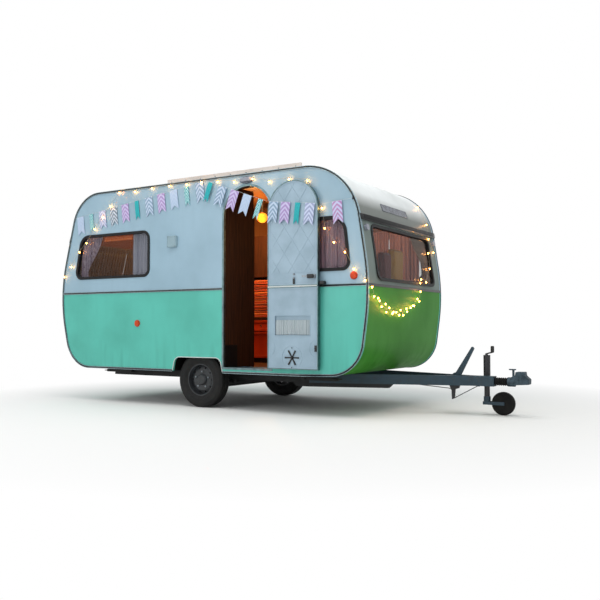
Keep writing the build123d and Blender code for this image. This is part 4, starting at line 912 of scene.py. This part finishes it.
# Folded blankets stacked on the worktop: each is two leaves with a rounded fold to the doorway.
blanketStack = {"folded": 8, "leaves": 2, "slack": 0.010, "headroom": 0.004, "setBack": 0.004,
                "marginX": 0.04, "marginY": 0.03, "cuts": 4, "dents": 0.12, "dentDepth": 0.008,
                "fill": 0.85}
stackLow = lowOf("blankets")
stackHigh = highOf("blankets")
stackSize = stackHigh - stackLow
leafCount = blanketStack["folded"] * blanketStack["leaves"]
leafHeight = (stackSize.z - blanketStack["headroom"]) / leafCount
dents = bpy.data.textures.new("blanketDents", "CLOUDS")
dents.noise_scale = blanketStack["dents"]
leaves = []
for i in range(leafCount):
    sway = blanketStack["slack"] * sin(2.4 * (i // blanketStack["leaves"]))
    leaf = block(((stackLow.x + stackHigh.x) / 2,
                  (stackLow.y + stackHigh.y) / 2 + blanketStack["setBack"] + 0.3 * sway,
                  stackLow.z + leafHeight * (i + 0.5)),
                 (stackSize.x - blanketStack["marginX"] - abs(sway), stackSize.y - blanketStack["marginY"],
                  leafHeight * 1.02))
    roundEdges(leaf, leafHeight * 0.46, 4)
    openAll(leaf)
    bpy.ops.mesh.subdivide(number_cuts=blanketStack["cuts"])
    closeEdit()
    leaves.append(leaf)
stack = joinUp(leaves)
finishWith(stack, "DISPLACE", texture=dents, strength=blanketStack["dentDepth"], texture_coords="LOCAL",
           mid_level=0.6)
settle(stack, "foldedBlankets", blanketCloth, "body", 80)
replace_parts(stack, "blankets")
print("blankets stacked")


# A paper lantern on a stem, with wire rings under the paper.
lantern = {"place": (-0.070, 0.400, 2.170), "radius": 0.063, "rings": 11, "ringDip": 0.0016, "stem": 0.011,
           "stemFrom": 0.05, "capRim": 0.003, "cap": 1.6}
lampMiddle = Vector(at(*lantern["place"]))
shade = primitive("uv_sphere", segments=48, ring_count=lantern["rings"] * 4, radius=lantern["radius"],
                  location=lampMiddle)
ringDip = lantern["ringDip"] / lantern["radius"]
for vertex in shade.data.vertices:
    share = asin(max(-1.0, min(1.0, vertex.co.z / lantern["radius"]))) / pi
    vertex.co *= 1 - ringDip * (0.5 - 0.5 * cos(2 * pi * lantern["rings"] * share))
settle(shade, "paperLantern", lanternPaper, "body", 80)
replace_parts(shade, "cabin_lamp")
stemLow, stemHigh = lampMiddle.z + lantern["stemFrom"], highOf("cabin_lamp").z
stem = primitive("cylinder", vertices=24, radius=lantern["stem"], depth=stemHigh - stemLow,
                 location=(lampMiddle.x, lampMiddle.y, (stemHigh + stemLow) / 2))
selectPart(stem, "FACE", facing(upward, (0, 0, -1)))
inset(lantern["capRim"])
stretchPart(lantern["cap"], lantern["cap"], 1)
closeEdit()
settle(stem, "lanternStem", anodised, "body")
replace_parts(stem, "cabin_lamp")
print("lantern hung")


# The pocket in the lower door leaf: gathered cloth with an elastic hem, in the moulded recess.
pocket = {"from": 1.024, "to": 1.412, "low": 0.772, "high": 0.912, "folds": 17, "depth": 0.0048,
          "faceY": -0.9630, "belly": 0.003, "ripple": 0.0012, "hem": 0.003}


def pocketAt(along, up, push):
    belly = pocket["belly"] * sin(pi * up) + pocket["ripple"] * sin(9 * along + 4 * up)
    return at(pocket["from"] + along * (pocket["to"] - pocket["from"]), pocket["faceY"] - belly + push,
              pocket["low"] + up * (pocket["high"] - pocket["low"]))


hangCloth("doorPocketCloth", pocketAt, pocket["folds"], pocketCloth, depth=pocket["depth"], body="door_lower")
hemLine = [pocketAt(k / 40, 1.0, 0.0008 * (-1) ** k) for k in range(41)]
settle(roundBar("doorPocketHem", hemLine, pocket["hem"], 2, 3), "doorPocketHem", pocketCloth,
       "door_lower", 80)
print("door pocket gathered")


# Painted doors and drawers on the kitchen unit, each a raised panel with a round knob.
kitchen = {"gap": 0.008, "thickness": 0.014, "face": 0.400, "knob": 0.0065, "stem": 0.012, "head": 0.006,
           "edges": (-0.592, -0.240, 0.112, 0.464, 0.852), "levels": (0.470, 0.790, 0.930),
           "panel": ((0.028, 0.0), (0.006, -0.005))}
spans = list(zip(kitchen["edges"], kitchen["edges"][1:]))
for i, (xFrom, xTo) in enumerate(spans):
    for j, (low, high) in enumerate(zip(kitchen["levels"], kitchen["levels"][1:])):
        wide = xTo - xFrom - kitchen["gap"]
        front = block(at((xFrom + xTo) / 2, kitchen["face"] - kitchen["thickness"] / 2, (low + high) / 2),
                      (wide, kitchen["thickness"], high - low - kitchen["gap"]))
        sink(front, toRight, *kitchen["panel"])
        roundEdges(front, 0.0015, 1)
        # a door's knob stands at its free edge and above the middle, a drawer's in its middle
        knobPlace = at(xFrom + wide * (0.5 if j else 0.86),
                       kitchen["face"] - kitchen["thickness"] - kitchen["stem"] / 2,
                       (low + high) / 2 + (0 if j else 0.1))
        knob = primitive("cylinder", vertices=20, radius=kitchen["knob"], depth=kitchen["stem"],
                         location=knobPlace, rotation=alongY)
        selectPart(knob, "FACE", facing(upward))
        drawOut(0, -0.004, 0)
        stretchPart(2.0, 1, 2.0)
        drawOut(0, -kitchen["head"], 0)
        stretchPart(0.7, 1, 0.7)
        closeEdit()
        settle(knob, f"kitchenKnob{i * 2 + j + 1}", chromePlate, "body")
        settle(front, f"kitchenFront{i * 2 + j + 1}", yellowPaint if i == 3 else redPaint, "body", 20)
print("kitchen fronts fitted")


# A ribbed rubber tread on the doorway's floor.
tread = {"from": 0.362, "to": 0.918, "edge": -0.822, "back": -0.560, "height": 0.4195, "thickness": 0.006,
         "ribs": 14, "rib": 0.0025, "ribTop": 0.94}
treadRows = tread["ribs"] * 2 + 1
ribWidth = (tread["back"] - tread["edge"]) / treadRows
mat = primitive("grid", x_subdivisions=2, y_subdivisions=treadRows, size=1,
                location=at((tread["from"] + tread["to"]) / 2, (tread["edge"] + tread["back"]) / 2,
                            tread["height"]))
mat.scale = (tread["to"] - tread["from"], tread["back"] - tread["edge"], 1)
bake("scale")
selectPart(mat, "FACE", lambda centre, normal: round((centre.y - ribWidth / 2) / ribWidth) % 2 == 0)
drawOut(0, 0, tread["rib"])
stretchPart(1, tread["ribTop"], 1)
closeEdit()
finishWith(mat, "SOLIDIFY", thickness=tread["thickness"], offset=1)
settle(mat, "doorwayTread", treadPaint, "body")
print("tread laid")


# The ventilator's slide: six black blades round a ball knob, with a stud above and below.
vent = {"x": 1.218, "z": 0.553, "y": -0.979, "blades": 6, "inner": 0.014, "outer": 0.080, "root": 0.0035,
        "tip": 0.0085, "proud": 0.003, "knob": 0.013, "stud": 0.005, "studRise": 0.094}
blades = []
for k in range(vent["blades"]):
    blade = primitive("cube", size=1, location=(0, 0, (vent["inner"] + vent["outer"]) / 2),
                      scale=(vent["tip"] * 2, vent["proud"], vent["outer"] - vent["inner"]))
    bake()
    selectPart(blade, "VERT", lambda place: place.z < (vent["inner"] + vent["outer"]) / 2)
    stretchPart(vent["root"] / vent["tip"], 1, 1)
    closeEdit()
    roundEdges(blade, 0.0012, 2)
    blade.rotation_euler = (0, 2 * pi * (k + 0.5) / vent["blades"], 0)
    blades.append(blade)
star = joinUp(blades)
star.location = at(vent["x"], vent["y"] - vent["proud"] / 2, vent["z"])
settle(star, "ventBlades", blackPlastic, "door_lower")
ball = primitive("uv_sphere", segments=24, ring_count=16, radius=vent["knob"],
                 location=at(vent["x"], vent["y"] - 0.004, vent["z"]))
selectPart(ball, "FACE", lambda centre, normal: centre.y < -vent["knob"] * 0.62)
stretchPart(1, 0.7, 1)
closeEdit()
settle(ball, "ventKnob", blackPlastic, "door_lower", 60)
studs = []
for rise in (-vent["studRise"], vent["studRise"]):
    stud = primitive("cylinder", vertices=16, radius=vent["stud"], depth=vent["proud"], rotation=alongY,
                     location=at(vent["x"], vent["y"] - vent["proud"] / 2, vent["z"] + rise))
    bake()
    sink(stud, toRight, (0.0016, 0.0012))
    studs.append(stud)
settle(joinUp(studs), "ventStuds", blackPlastic, "door_lower")
# a black plate on the bolt
boltFace = faceOf("door_handle", at(1.240, -2, 1.285), toLeft)[0]
boltPlate = block(boltFace + Vector((0, -0.0012, 0)), (0.018, 0.002, 0.052))
selectPart(boltPlate, "FACE", facing(toRight))
inset(0.004)
drawOut(0, -0.002, 0)
closeEdit()
settle(boltPlate, "boltPlate", blackPlastic, "door_upper")
# the two leaves meet under a pale lapping rail
roundedBlock("leafLapRail", at(1.218, -0.9775, 1.2395), (0.556, 0.007, 0.012), 0.0018, palePaint,
             "door_upper")
print("door leaf fitted out")


def makeScrew(radius):
    # a raised-head screw along Y, head outwards at -Y, with a socket in its head
    screw = primitive("cylinder", vertices=20, radius=radius, depth=radius * 0.6, rotation=alongY)
    bake("rotation")
    sink(screw, toRight, (radius * 0.35, radius * 0.25), (radius * 0.3, -radius * 0.2))
    return screw


def placeScrews(name, radius, places):
    model = makeScrew(radius)
    copies = [copyAt(model, place) for place in places]
    bpy.data.objects.remove(model)
    settle(joinUp(copies), name, zincPlate, "body")


# Screws along the roof board and at the corners of the inlet box.
screws = {"board": 0.006, "boardCount": 9, "boardEnd": 0.06, "inlet": 0.0045, "inletEdge": 0.010}
low, high = lowOf("roof_board"), highOf("roof_board")
boardStep = (high.x - low.x - 2 * screws["boardEnd"]) / (screws["boardCount"] - 1)
placeScrews("boardScrews", screws["board"], [(low.x + screws["boardEnd"] + k * boardStep, low.y - 0.001,
                                              (low.z + high.z) / 2) for k in range(screws["boardCount"])])
low, high = lowOf("utility_box"), highOf("utility_box")
placeScrews("inletScrews", screws["inlet"],
            [(x, low.y - 0.0008, z) for x in (low.x + screws["inletEdge"], high.x - screws["inletEdge"])
             for z in (low.z + screws["inletEdge"], high.z - screws["inletEdge"])])
print("screws set")


# Wheel bolts and valve stems.
wheelTrim = {"face": 0.8205, "bolts": 5, "circle": 0.085, "head": 0.0095, "length": 0.013, "firstBolt": 0.3,
             "flange": 1.35, "valveAt": 0.142, "valve": 0.0042, "valveLong": 0.026, "valveTurn": 1.2}
for sideName, side in bothSides:
    discY = side * wheelTrim["face"]
    outwards, inwards = (0, side, 0), (0, -side, 0)
    bolts = []
    for k in range(wheelTrim["bolts"]):
        angle = 2 * pi * k / wheelTrim["bolts"] + wheelTrim["firstBolt"]
        bolt = primitive("cylinder", vertices=6, radius=wheelTrim["head"], depth=wheelTrim["length"],
                         rotation=alongY)
        bake("rotation")
        sink(bolt, outwards, (wheelTrim["head"] * 0.3, 0.0015))
        selectPart(bolt, "FACE", facing(inwards))
        drawOut(0, -side * 0.002, 0)
        stretchPart(wheelTrim["flange"], 1, wheelTrim["flange"])
        closeEdit()
        bolt.location = (axleX + wheelTrim["circle"] * cos(angle),
                         discY + side * (wheelTrim["length"] / 2 - 0.001),
                         axleZ + wheelTrim["circle"] * sin(angle))
        bolts.append(bolt)
    body = "wheel_" + sideName.lower()
    settle(joinUp(bolts), "wheelBolts" + sideName, zincPlate, body)
    stemPlace = (axleX + wheelTrim["valveAt"] * cos(wheelTrim["valveTurn"]), discY + side * 0.012,
                 axleZ + wheelTrim["valveAt"] * sin(wheelTrim["valveTurn"]))
    valve = primitive("cylinder", vertices=16, radius=wheelTrim["valve"], depth=wheelTrim["valveLong"],
                      location=stemPlace, rotation=alongY)
    selectPart(valve, "FACE", lambda centre, normal: centre.z * -side > 0.01)
    inset(0.001)
    drawOut(0, side * 0.006, 0)
    closeEdit()
    settle(valve, "valve" + sideName, blackPlastic, body)
print("wheels trimmed")


def makeBezel(name, place, halfWide, halfTall, rim, material):
    # a rolled rim round a lens
    bezel = primitive("torus", major_segments=48, minor_segments=12, major_radius=1.0, minor_radius=0.1,
                      rotation=alongY)
    bake("rotation")
    for vertex in bezel.data.vertices:
        reach = sqrt(vertex.co.x ** 2 + vertex.co.z ** 2)
        out = (reach - 1.0) / 0.1 * rim
        vertex.co.x *= (halfWide + out) / reach
        vertex.co.z *= (halfTall + out) / reach
        vertex.co.y *= rim / 0.1
    bezel.location = place
    settle(bezel, name, material, "body", 60)


# Bezels round the porch lamp and the side markers.
makeBezel("porchLampBezel", at(0.636, -0.922, 2.337), 0.074, 0.028, 0.0085, darkChrome)
marker = {"out": 0.9185, "radius": 0.030, "rim": 0.0035}
for name, x, height in (("rearSideMarkerBezel", -0.849, 0.887), ("frontSideMarkerBezel", 1.856, 1.326)):
    for sideName, side in bothSides:
        makeBezel(name + sideName, at(x, side * marker["out"], height), marker["radius"], marker["radius"],
                  marker["rim"], blackPlastic)
print("bezels fitted")


# The rear number plate is blank, in a black holder.
plate = {"wide": 0.520, "tall": 0.112, "height": 0.640, "rim": 0.008, "recess": 0.004}
rearPlace, rearNormal = faceOf("rear_lower", at(-4, 0, plate["height"]), forward)


def onRear(piece, out):
    # stands a piece made in the XZ plane, facing -Y, against the rear panel
    piece.location = rearPlace + rearNormal * out
    piece.rotation_euler = Matrix(((0, -rearNormal.x, 0), (-1, 0, 0), (0, 0, 1))).to_euler()
    return piece


holder = block((0, 0, 0), (plate["wide"] + 2 * plate["rim"], 0.008, plate["tall"] + 2 * plate["rim"]))
sink(holder, toRight, (plate["rim"], 0.0), (0.0, -plate["recess"]))
roundEdges(holder, 0.001, 1)
settle(onRear(holder, 0.012), "plateHolder", blackPlastic, "body")
blank = block((0, 0, 0), (plate["wide"] - 0.002, 0.0015, plate["tall"] - 0.002))
roundEdges(blank, 0.0006, 1)
settle(onRear(blank, 0.0145), "blankPlate", platePaint, "body")
print("blank plate fixed")


# The jockey crank's grip, a little fatter along its middle.
crank = {"x": 2.832, "radius": 0.0155, "length": 0.064, "height": 0.6315, "rings": 0.0185, "swell": 1.12}
gripX, gripY, gripZ = at(crank["x"], middleOf("jockey_leg").y, crank["height"])
grip = primitive("cylinder", vertices=32, radius=crank["radius"], depth=crank["length"],
                 location=(gripX, gripY, gripZ))
for step in (-crank["rings"], crank["rings"]):
    openAll(grip)
    bpy.ops.mesh.bisect(plane_co=(gripX, gripY, gripZ + step), plane_no=upward)
    closeEdit()
selectPart(grip, "VERT", lambda place: abs(abs(place.z) - crank["rings"]) < 0.002)
stretchPart(crank["swell"], crank["swell"], 1)
closeEdit()
finishWith(grip, "BEVEL", width=0.003, segments=3, limit_method="ANGLE")
settle(grip, "crankGrip", gripEnamel, "body", 40)
print("crank grip fitted")


# A dark strip in the window rubber's finish across the front, under the roof's lip over the front window:
# painted shade for the shadow gap there. Above it, a bare badge bar.
shadowGap = {"wide": 1.72, "tall": 0.040, "thick": 0.004, "height": 1.88, "lean": 0.155, "tries": 12}
stripPoints = []
for k in range(shadowGap["tries"] + 1):
    y = shadowGap["wide"] * (k / shadowGap["tries"] - 0.5)
    place, normal = faceOf("body_trim", at(4, y, shadowGap["height"]), (-1, 0, 0))
    stripPoints.append(place + normal * 0.001)
shadowGapStrip = block(sum(stripPoints, Vector()) / len(stripPoints), (shadowGap["thick"], shadowGap["wide"], shadowGap["tall"]))
roundEdges(shadowGapStrip, 0.0015, 2)
shadowGapStrip.rotation_euler = (0, -asin(shadowGap["lean"]), 0)
settle(shadowGapStrip, "frontShadowGapStrip", sealRubber, "body")
badgePlace, badgeNormal = faceOf("roof", at(4, -0.05, 2.03), (-1, 0, 0))
badge = block((0, 0, 0), (0.006, 0.62, 0.080))
roundEdges(badge, 0.002, 2)
sink(badge, forward, (0.005, -0.002))
badge.rotation_euler = (0, -asin(badgeNormal.z), 0)
badge.location = badgePlace + badgeNormal * 0.002
settle(badge, "bareBadgeBar", darkChrome, "body")

# The cover over the hook that holds the open door, and the lock's black recess.
roundedBlock("doorCatchCover", at(1.5375, -0.9395, 1.2665), (0.050, 0.045, 0.033), 0.005,
             blackPlastic, "body", 3)
roundedBlock("lockRecess", at(1.4325, -0.9965, 1.330), (0.070, 0.003, 0.038), 0.0012, blackPlastic,
             "door_upper")
print("front and lock details added")


# The edge rail stops at each wheel arch, and a pale bead goes round the arch instead.
arch = {"low": 0.336, "top": 0.300, "sill": 0.384, "height": 0.528, "corner": 0.055, "bead": 0.0045,
        "railTop": 0.45}
cutRail = copyAt(nodes["body_trim"], (0, 0, 0))
openAll(cutRail)
bpy.ops.mesh.remove_doubles(threshold=0.00001)
for side in (-1, 1):
    bpy.ops.mesh.select_all(action="SELECT")
    bpy.ops.mesh.bisect(plane_co=(axleX + side * arch["low"], 0, 0), plane_no=forward)
closeEdit()
selectPart(cutRail, "FACE", lambda centre, normal: (abs(centre.x - axleX) < arch["low"]
                                                    and centre.z - groundZ < arch["railTop"]))
bpy.ops.mesh.delete(type="FACE")
bpy.ops.mesh.select_all(action="SELECT")
bpy.ops.mesh.fill_holes(sides=0)
closeEdit()
settle(cutRail, "edgeRails", rail, "body")
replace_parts(cutRail, "body_trim")
for sideName, side in bothSides:
    bead = primitive("plane", size=1, rotation=alongY)
    bake("rotation")
    for vertex in bead.data.vertices:
        upper = vertex.co.z > 0
        vertex.co = ((arch["top"] if upper else arch["low"]) * (1 if vertex.co.x > 0 else -1), 0,
                     arch["height"] if upper else arch["sill"])
    selectPart(bead, "VERT", lambda place: place.z > arch["sill"] + 0.01)
    bpy.ops.mesh.bevel(offset=arch["corner"], segments=8, affect="VERTICES")
    closeEdit()
    selectPart(bead, "EDGE", lambda middle: middle.z < arch["sill"] + 0.001)
    bpy.ops.mesh.delete(type="EDGE_FACE")
    closeEdit()
    pick(bead)
    bpy.ops.object.convert(target="CURVE")
    bead = bpy.context.object
    bead.data.bevel_depth = arch["bead"]
    bead.data.bevel_resolution = 2
    bead.data.use_fill_caps = True
    bpy.ops.object.convert(target="MESH")
    bead = bpy.context.object
    bead.location = (axleX, side * (sideY + 0.001), groundZ)
    settle(bead, "archBead" + sideName, palePaint, "body", 80)
print("rails cut at the arches")


# A locker over the wardrobe, up to the ceiling, with a framed door.
locker = {"low": (-0.322, -0.850, 2.152), "high": (0.317, -0.336, 2.335), "frame": 0.030}
header = block(at(*[(a + b) / 2 for a, b in zip(locker["low"], locker["high"])]),
               [b - a for a, b in zip(locker["low"], locker["high"])])
sink(header, toLeft, (locker["frame"], 0.0), (0.005, -0.004))
roundEdges(header, 0.0015, 1)
settle(header, "wardrobeLocker", darkVeneer, "body", 20)
print("locker fitted")


# Fairy lights: small warm bulbs, each clipped to the panel, with the wire taut from one to the next.
lights = {
    "wire": 0.0012,
    "socket": 0.0045,
    "socketLong": 0.012,
    "bulb": 0.0072,
    "tipLength": 1.5,        # the lower half of a bulb is drawn out to a tip
    "stand": 0.020,          # from the panel to the wire, with the clip
    "wander": 0.018,
}
# each run goes from clip to clip, given as places along and heights above the ground, with a count of bulbs
wallRuns = (
    ((-1.13, 2.385), (-2.02, 1.455), 8),
    ((-1.13, 2.385), (-0.13, 2.380), 5),
    ((0.06, 2.385), (1.15, 2.305), 6),
    ((1.36, 2.270), (1.53, 1.990), 2),
    ((1.555, 1.795), (1.975, 1.290), 5),
)
wallY = -sideY - lights["stand"]


def alongWall(start, end, count):
    # shares the bulbs out along a run, each a little off the straight line as hands place them
    points = []
    for k in range(count):
        share = k / (count - 1)
        wander = lights["wander"] * sin(2.6 * k + 10 * start[0])
        points.append(at(start[0] + share * (end[0] - start[0]) + 0.4 * wander, wallY,
                         start[1] + share * (end[1] - start[1]) + wander * (0 < k < count - 1)))
    return points


# the first run goes down from the roof to the corner, so the wire takes it the other way round
wallLine = alongWall(*wallRuns[0])[::-1]
for run in wallRuns[1:]:
    wallLine += alongWall(*run)


def onFront(y, height):
    # a place for a light in front of the body's front end
    start = Vector(at(4, y, height))
    hits = [nodes[node].ray_cast(start, Vector((-1, 0, 0)))
            for node in ("front_lower", "front_upper", "window_panes", "window_seals", "roof")]
    foremost = max((hit for hit in hits if hit[0]), key=lambda hit: hit[1].x)
    return foremost[1] + foremost[2] * lights["stand"]


# under the front window the lights hang in a curve from the right-hand corner and back up to the middle
swag = {"from": -0.87, "to": 0.30, "height": 1.205, "sag": 0.205, "bulbs": 22, "wander": 0.030}
frontLine = []
for k in range(swag["bulbs"]):
    share = k / (swag["bulbs"] - 1)
    y = swag["from"] + (swag["to"] - swag["from"]) * share + 0.6 * swag["wander"] * sin(4.1 * k)
    frontLine.append(onFront(y, swag["height"] - swag["sag"] * sin(pi * share) ** 0.8
                             + swag["wander"] * sin(2.7 * k + 1)))
farCorner = ((0.29, 1.317), (0.34, 1.36), (0.47, 1.337), (0.63, 1.492), (0.665, 1.667), (0.79, 1.685),
             (0.70, 1.827), (0.734, 1.989), (0.785, 2.195))
farLine = [onFront(y, height) for y, height in farCorner]


def makeBulbs(name, line, body):
    # a bulb and its socket at each point of the line; the wire runs through the sockets
    bulbs = []
    sockets = []
    radius = lights["bulb"]
    for place in line:
        bulb = primitive("uv_sphere", segments=10, ring_count=8, radius=radius,
                         location=Vector(place) - Vector(upward) * radius * 1.9)
        for vertex in bulb.data.vertices:
            if vertex.co.z < 0:
                vertex.co.z *= lights["tipLength"]
                vertex.co.x *= 1 + vertex.co.z / (4 * radius)
                vertex.co.y *= 1 + vertex.co.z / (4 * radius)
        socket = primitive("cylinder", vertices=10, radius=lights["socket"], depth=lights["socketLong"],
                           location=Vector(place) - Vector(upward) * 0.005)
        sink(socket, upward, (0.0015, 0.002))
        bulbs.append(bulb)
        sockets.append(socket)
    settle(joinUp(bulbs), name + "Bulbs", warmGlass, body, 80)
    settle(joinUp(sockets), name + "Sockets", blackPlastic, body)
    settle(roundBar(name + "Wire", line, lights["wire"], 1), name + "Wire", clearWire, body, 80)


for name, line in (("wallLights", wallLine), ("frontLights", frontLine), ("cornerLights", farLine)):
    makeBulbs(name, line, "body")
print("fairy lights clipped on:", len(wallLine) + len(frontLine) + len(farLine))


# Bunting: card pennants with a swallowtail, pinned along a taut string, with chevrons or plain.
bunting = {"wide": 0.105, "narrow": 0.058, "long": 0.215, "notch": 0.045, "card": 0.0012, "string": 0.0011,
           "out": 0.0075, "curl": 0.004}


def makePennant(name, place, slope, wide, material, body):
    # a card hung from its top edge at place, square to the string's slope
    pennant = primitive("plane", size=1, rotation=alongY)
    bake("rotation")
    openAll(pennant)
    bpy.ops.mesh.subdivide(number_cuts=7)
    closeEdit()
    for vertex in pennant.data.vertices:
        across = vertex.co.x
        down = 0.5 - vertex.co.z
        tail = bunting["notch"] * (1 - 2 * abs(across)) * down
        curl = bunting["curl"] * sin(pi * down) * cos(2 * across)
        vertex.co = (across * wide, -curl, -down * bunting["long"] + tail)
    pennant.rotation_euler = (0, -slope, 0)
    pennant.location = place
    finishWith(pennant, "SOLIDIFY", thickness=bunting["card"], offset=0)
    settle(pennant, name, material, body, 30)


def hangString(name, start, end, y, cards, body):
    # cards: a finish and the key of its width, shared out evenly along the string
    slope = atan2(end[1] - start[1], end[0] - start[0])
    first = at(start[0], y, start[1])
    last = at(end[0], y, end[1])
    settle(roundBar(name + "String", [first, last], bunting["string"], 1), name + "String",
           palePaint, body, 80)
    for k, (material, width) in enumerate(cards):
        place = Vector(first).lerp(Vector(last), (k + 0.5) / len(cards))
        makePennant(f"{name}Pennant{k + 1}", place, slope, bunting[width], material, body)


wallCardY = -sideY - bunting["out"]
hangString("rearBunting", (-1.855, 2.130), (0.114, 2.385), wallCardY,
           ((plainBlueCard, "wide"), (tealCard, "narrow"), (blueLilacCard, "wide"), (linedCard, "wide"),
            (lilacCard, "wide"), (plainTealCard, "narrow"), (blueGreyCard, "wide"), (lilacCard, "wide"),
            (plainBlueCard, "wide"), (tealCard, "narrow"), (blueGreyCard, "wide")), "body")
hangString("doorwayBunting", (0.114, 2.385), (0.905, 2.095), wallCardY - 0.018,
           ((plainTealCard, "narrow"), (blueGreyCard, "wide"), (lilacCard, "wide"), (plainBlueCard, "wide"),
            (tealCard, "narrow")), "body")
hangString("leafBunting", (0.945, 2.085), (1.495, 2.020), -0.984,
           ((blueGreyCard, "wide"), (lilacCard, "wide"), (plainTealCard, "narrow"), (blueLilacCard, "wide")),
           "door_upper")
hangString("frontBunting", (1.520, 2.020), (1.845, 2.045), wallCardY - 0.004,
           ((pinkLilacCard, "wide"),), "body")
print("bunting strung")


# The hook that holds the bunting's end, on the front edge rail.
roundedBlock("buntingHook", at(1.852, -0.925, 2.045), (0.010, 0.012, 0.030), 0.003, blackPlastic, "body")


# The studio: a pale paper floor that fades to white, an even sky of light and two soft lamps.
studio = {
    "floorColour": "#E9E9E6",
    "middle": 0.8,           # ahead of the axle
    "fadeFrom": 2.2,
    "fadeTo": 4.6,
    "skyBelow": 0.34,
    "skyLevel": 0.46,
    "skyAbove": 0.7,
    "topLampPower": 260.0,
    "sideLampPower": 90.0,
    "cabinLampPower": 42.0,
    "cabinLampHeight": 1.95,
    "bulbHaloPower": 0.07,
    "haloAway": 0.03,
    "cabinLampColour": (1.0, 0.46, 0.14),
}


def seenDirectly(tree):
    # 1 where a camera, glossy or transmission ray looks, so that metal and glass show the backdrop too
    path = addNode(tree, "LightPath")
    straight = calc(tree, "MAXIMUM", path.outputs["Is Camera Ray"], path.outputs["Is Glossy Ray"])
    return calc(tree, "MAXIMUM", straight, path.outputs["Is Transmission Ray"])


def buildFloor():
    middle = (axleX + studio["middle"], 0, groundZ)
    floor = primitive("plane", size=80, location=middle)
    floor.name = "studioFloor"
    bake()
    material, tree, shader, place = startMaterial("paperFloor", Roughness=0.9,
                                                  Base_Color=studio["floorColour"])
    apart = addNode(tree, "VectorMath", "Value", {0: place, 1: middle}, operation="DISTANCE")
    fade = ramp(tree, apart, studio["fadeFrom"], studio["fadeTo"])
    share = calc(tree, "MULTIPLY", fade, seenDirectly(tree))
    white = addNode(tree, "Emission", "Emission", {"Color": (1, 1, 1, 1), "Strength": 1.0})
    mix = addNode(tree, "MixShader", 0, {0: share, 1: shader.outputs[0], 2: white})
    tree.links.new(mix, tree.nodes["Material Output"].inputs["Surface"])
    floor.data.materials.append(material)


def buildWorld():
    world = bpy.data.worlds.new("softStudio")
    scene.world = world
    world.use_nodes = True
    tree = world.node_tree
    tree.nodes.clear()
    up = partOf(tree, addNode(tree, "TexCoord", "Generated"), "Z")
    below = ramp(tree, up, -0.3, 0.0, studio["skyBelow"], studio["skyLevel"])
    above = ramp(tree, up, toHigh=studio["skyAbove"] - studio["skyLevel"])
    level = calc(tree, "ADD", below, above)
    soft = addNode(tree, "Background", 0, {"Color": (0.94, 0.97, 1.0, 1), "Strength": level})
    white = addNode(tree, "Background", 0, {"Color": (1, 1, 1, 1), "Strength": 1.0})
    mix = addNode(tree, "MixShader", 0, {0: seenDirectly(tree), 1: soft, 2: white})
    addNode(tree, "OutputWorld", None, {"Surface": mix})


def addLamp(name, kind, power, size, place, target=None, colour=(1, 1, 1)):
    light = bpy.data.lights.new(name, kind)
    light.energy = power
    light.color = colour
    lamp = bpy.data.objects.new(name, light)
    lamp.location = place
    if kind == "AREA":
        light.size = size
        lamp.rotation_euler = (Vector(target) - Vector(place)).to_track_quat("-Z", "Y").to_euler()
    else:
        light.shadow_soft_size = size
        lamp.visible_camera = False
    scene.collection.objects.link(lamp)


buildFloor()
buildWorld()
addLamp("topSoftbox", "AREA", studio["topLampPower"], 5.0, (axleX + 1.5, -1.5, 6.0), (axleX, 0, 0.8))
addLamp("sideSoftbox", "AREA", studio["sideLampPower"], 4.0, (axleX - 2.5, -7.0, 2.6), (axleX, 0, 0.6))
for name, share, x, y in (("kitchenGlow", 1.0, 0.05, 0.05), ("frontGlow", 0.12, 1.30, 0.40),
                          ("rearGlow", 0.3, -1.25, 0.0)):
    addLamp(name, "POINT", studio["cabinLampPower"] * share, 0.06, at(x, y, studio["cabinLampHeight"]),
            colour=studio["cabinLampColour"])
for name, line, away in (("wallHalo", wallLine, toRight), ("frontHalo", frontLine, forward),
                         ("cornerHalo", farLine, forward)):
    for k, place in enumerate(line):
        addLamp(f"{name}{k + 1}", "POINT", studio["bulbHaloPower"], 0.012,
                Vector(place) + Vector(away) * studio["haloAway"], colour=studio["cabinLampColour"])
scene.view_settings.view_transform = "Standard"

view = {
    "place": (1.8975, -7.0829, 0.4955),
    "tilt": 92.0,
    "turn": 31.478,
    "lens": 45.0,
}
camera = bpy.data.objects.new("camera", bpy.data.cameras.new("camera"))
camera.location = view["place"]
camera.rotation_euler = (radians(view["tilt"]), 0, radians(view["turn"]))
camera.data.lens = view["lens"]
camera.data.sensor_width = 36.0
scene.collection.objects.link(camera)
scene.camera = camera
print("studio and camera ready")
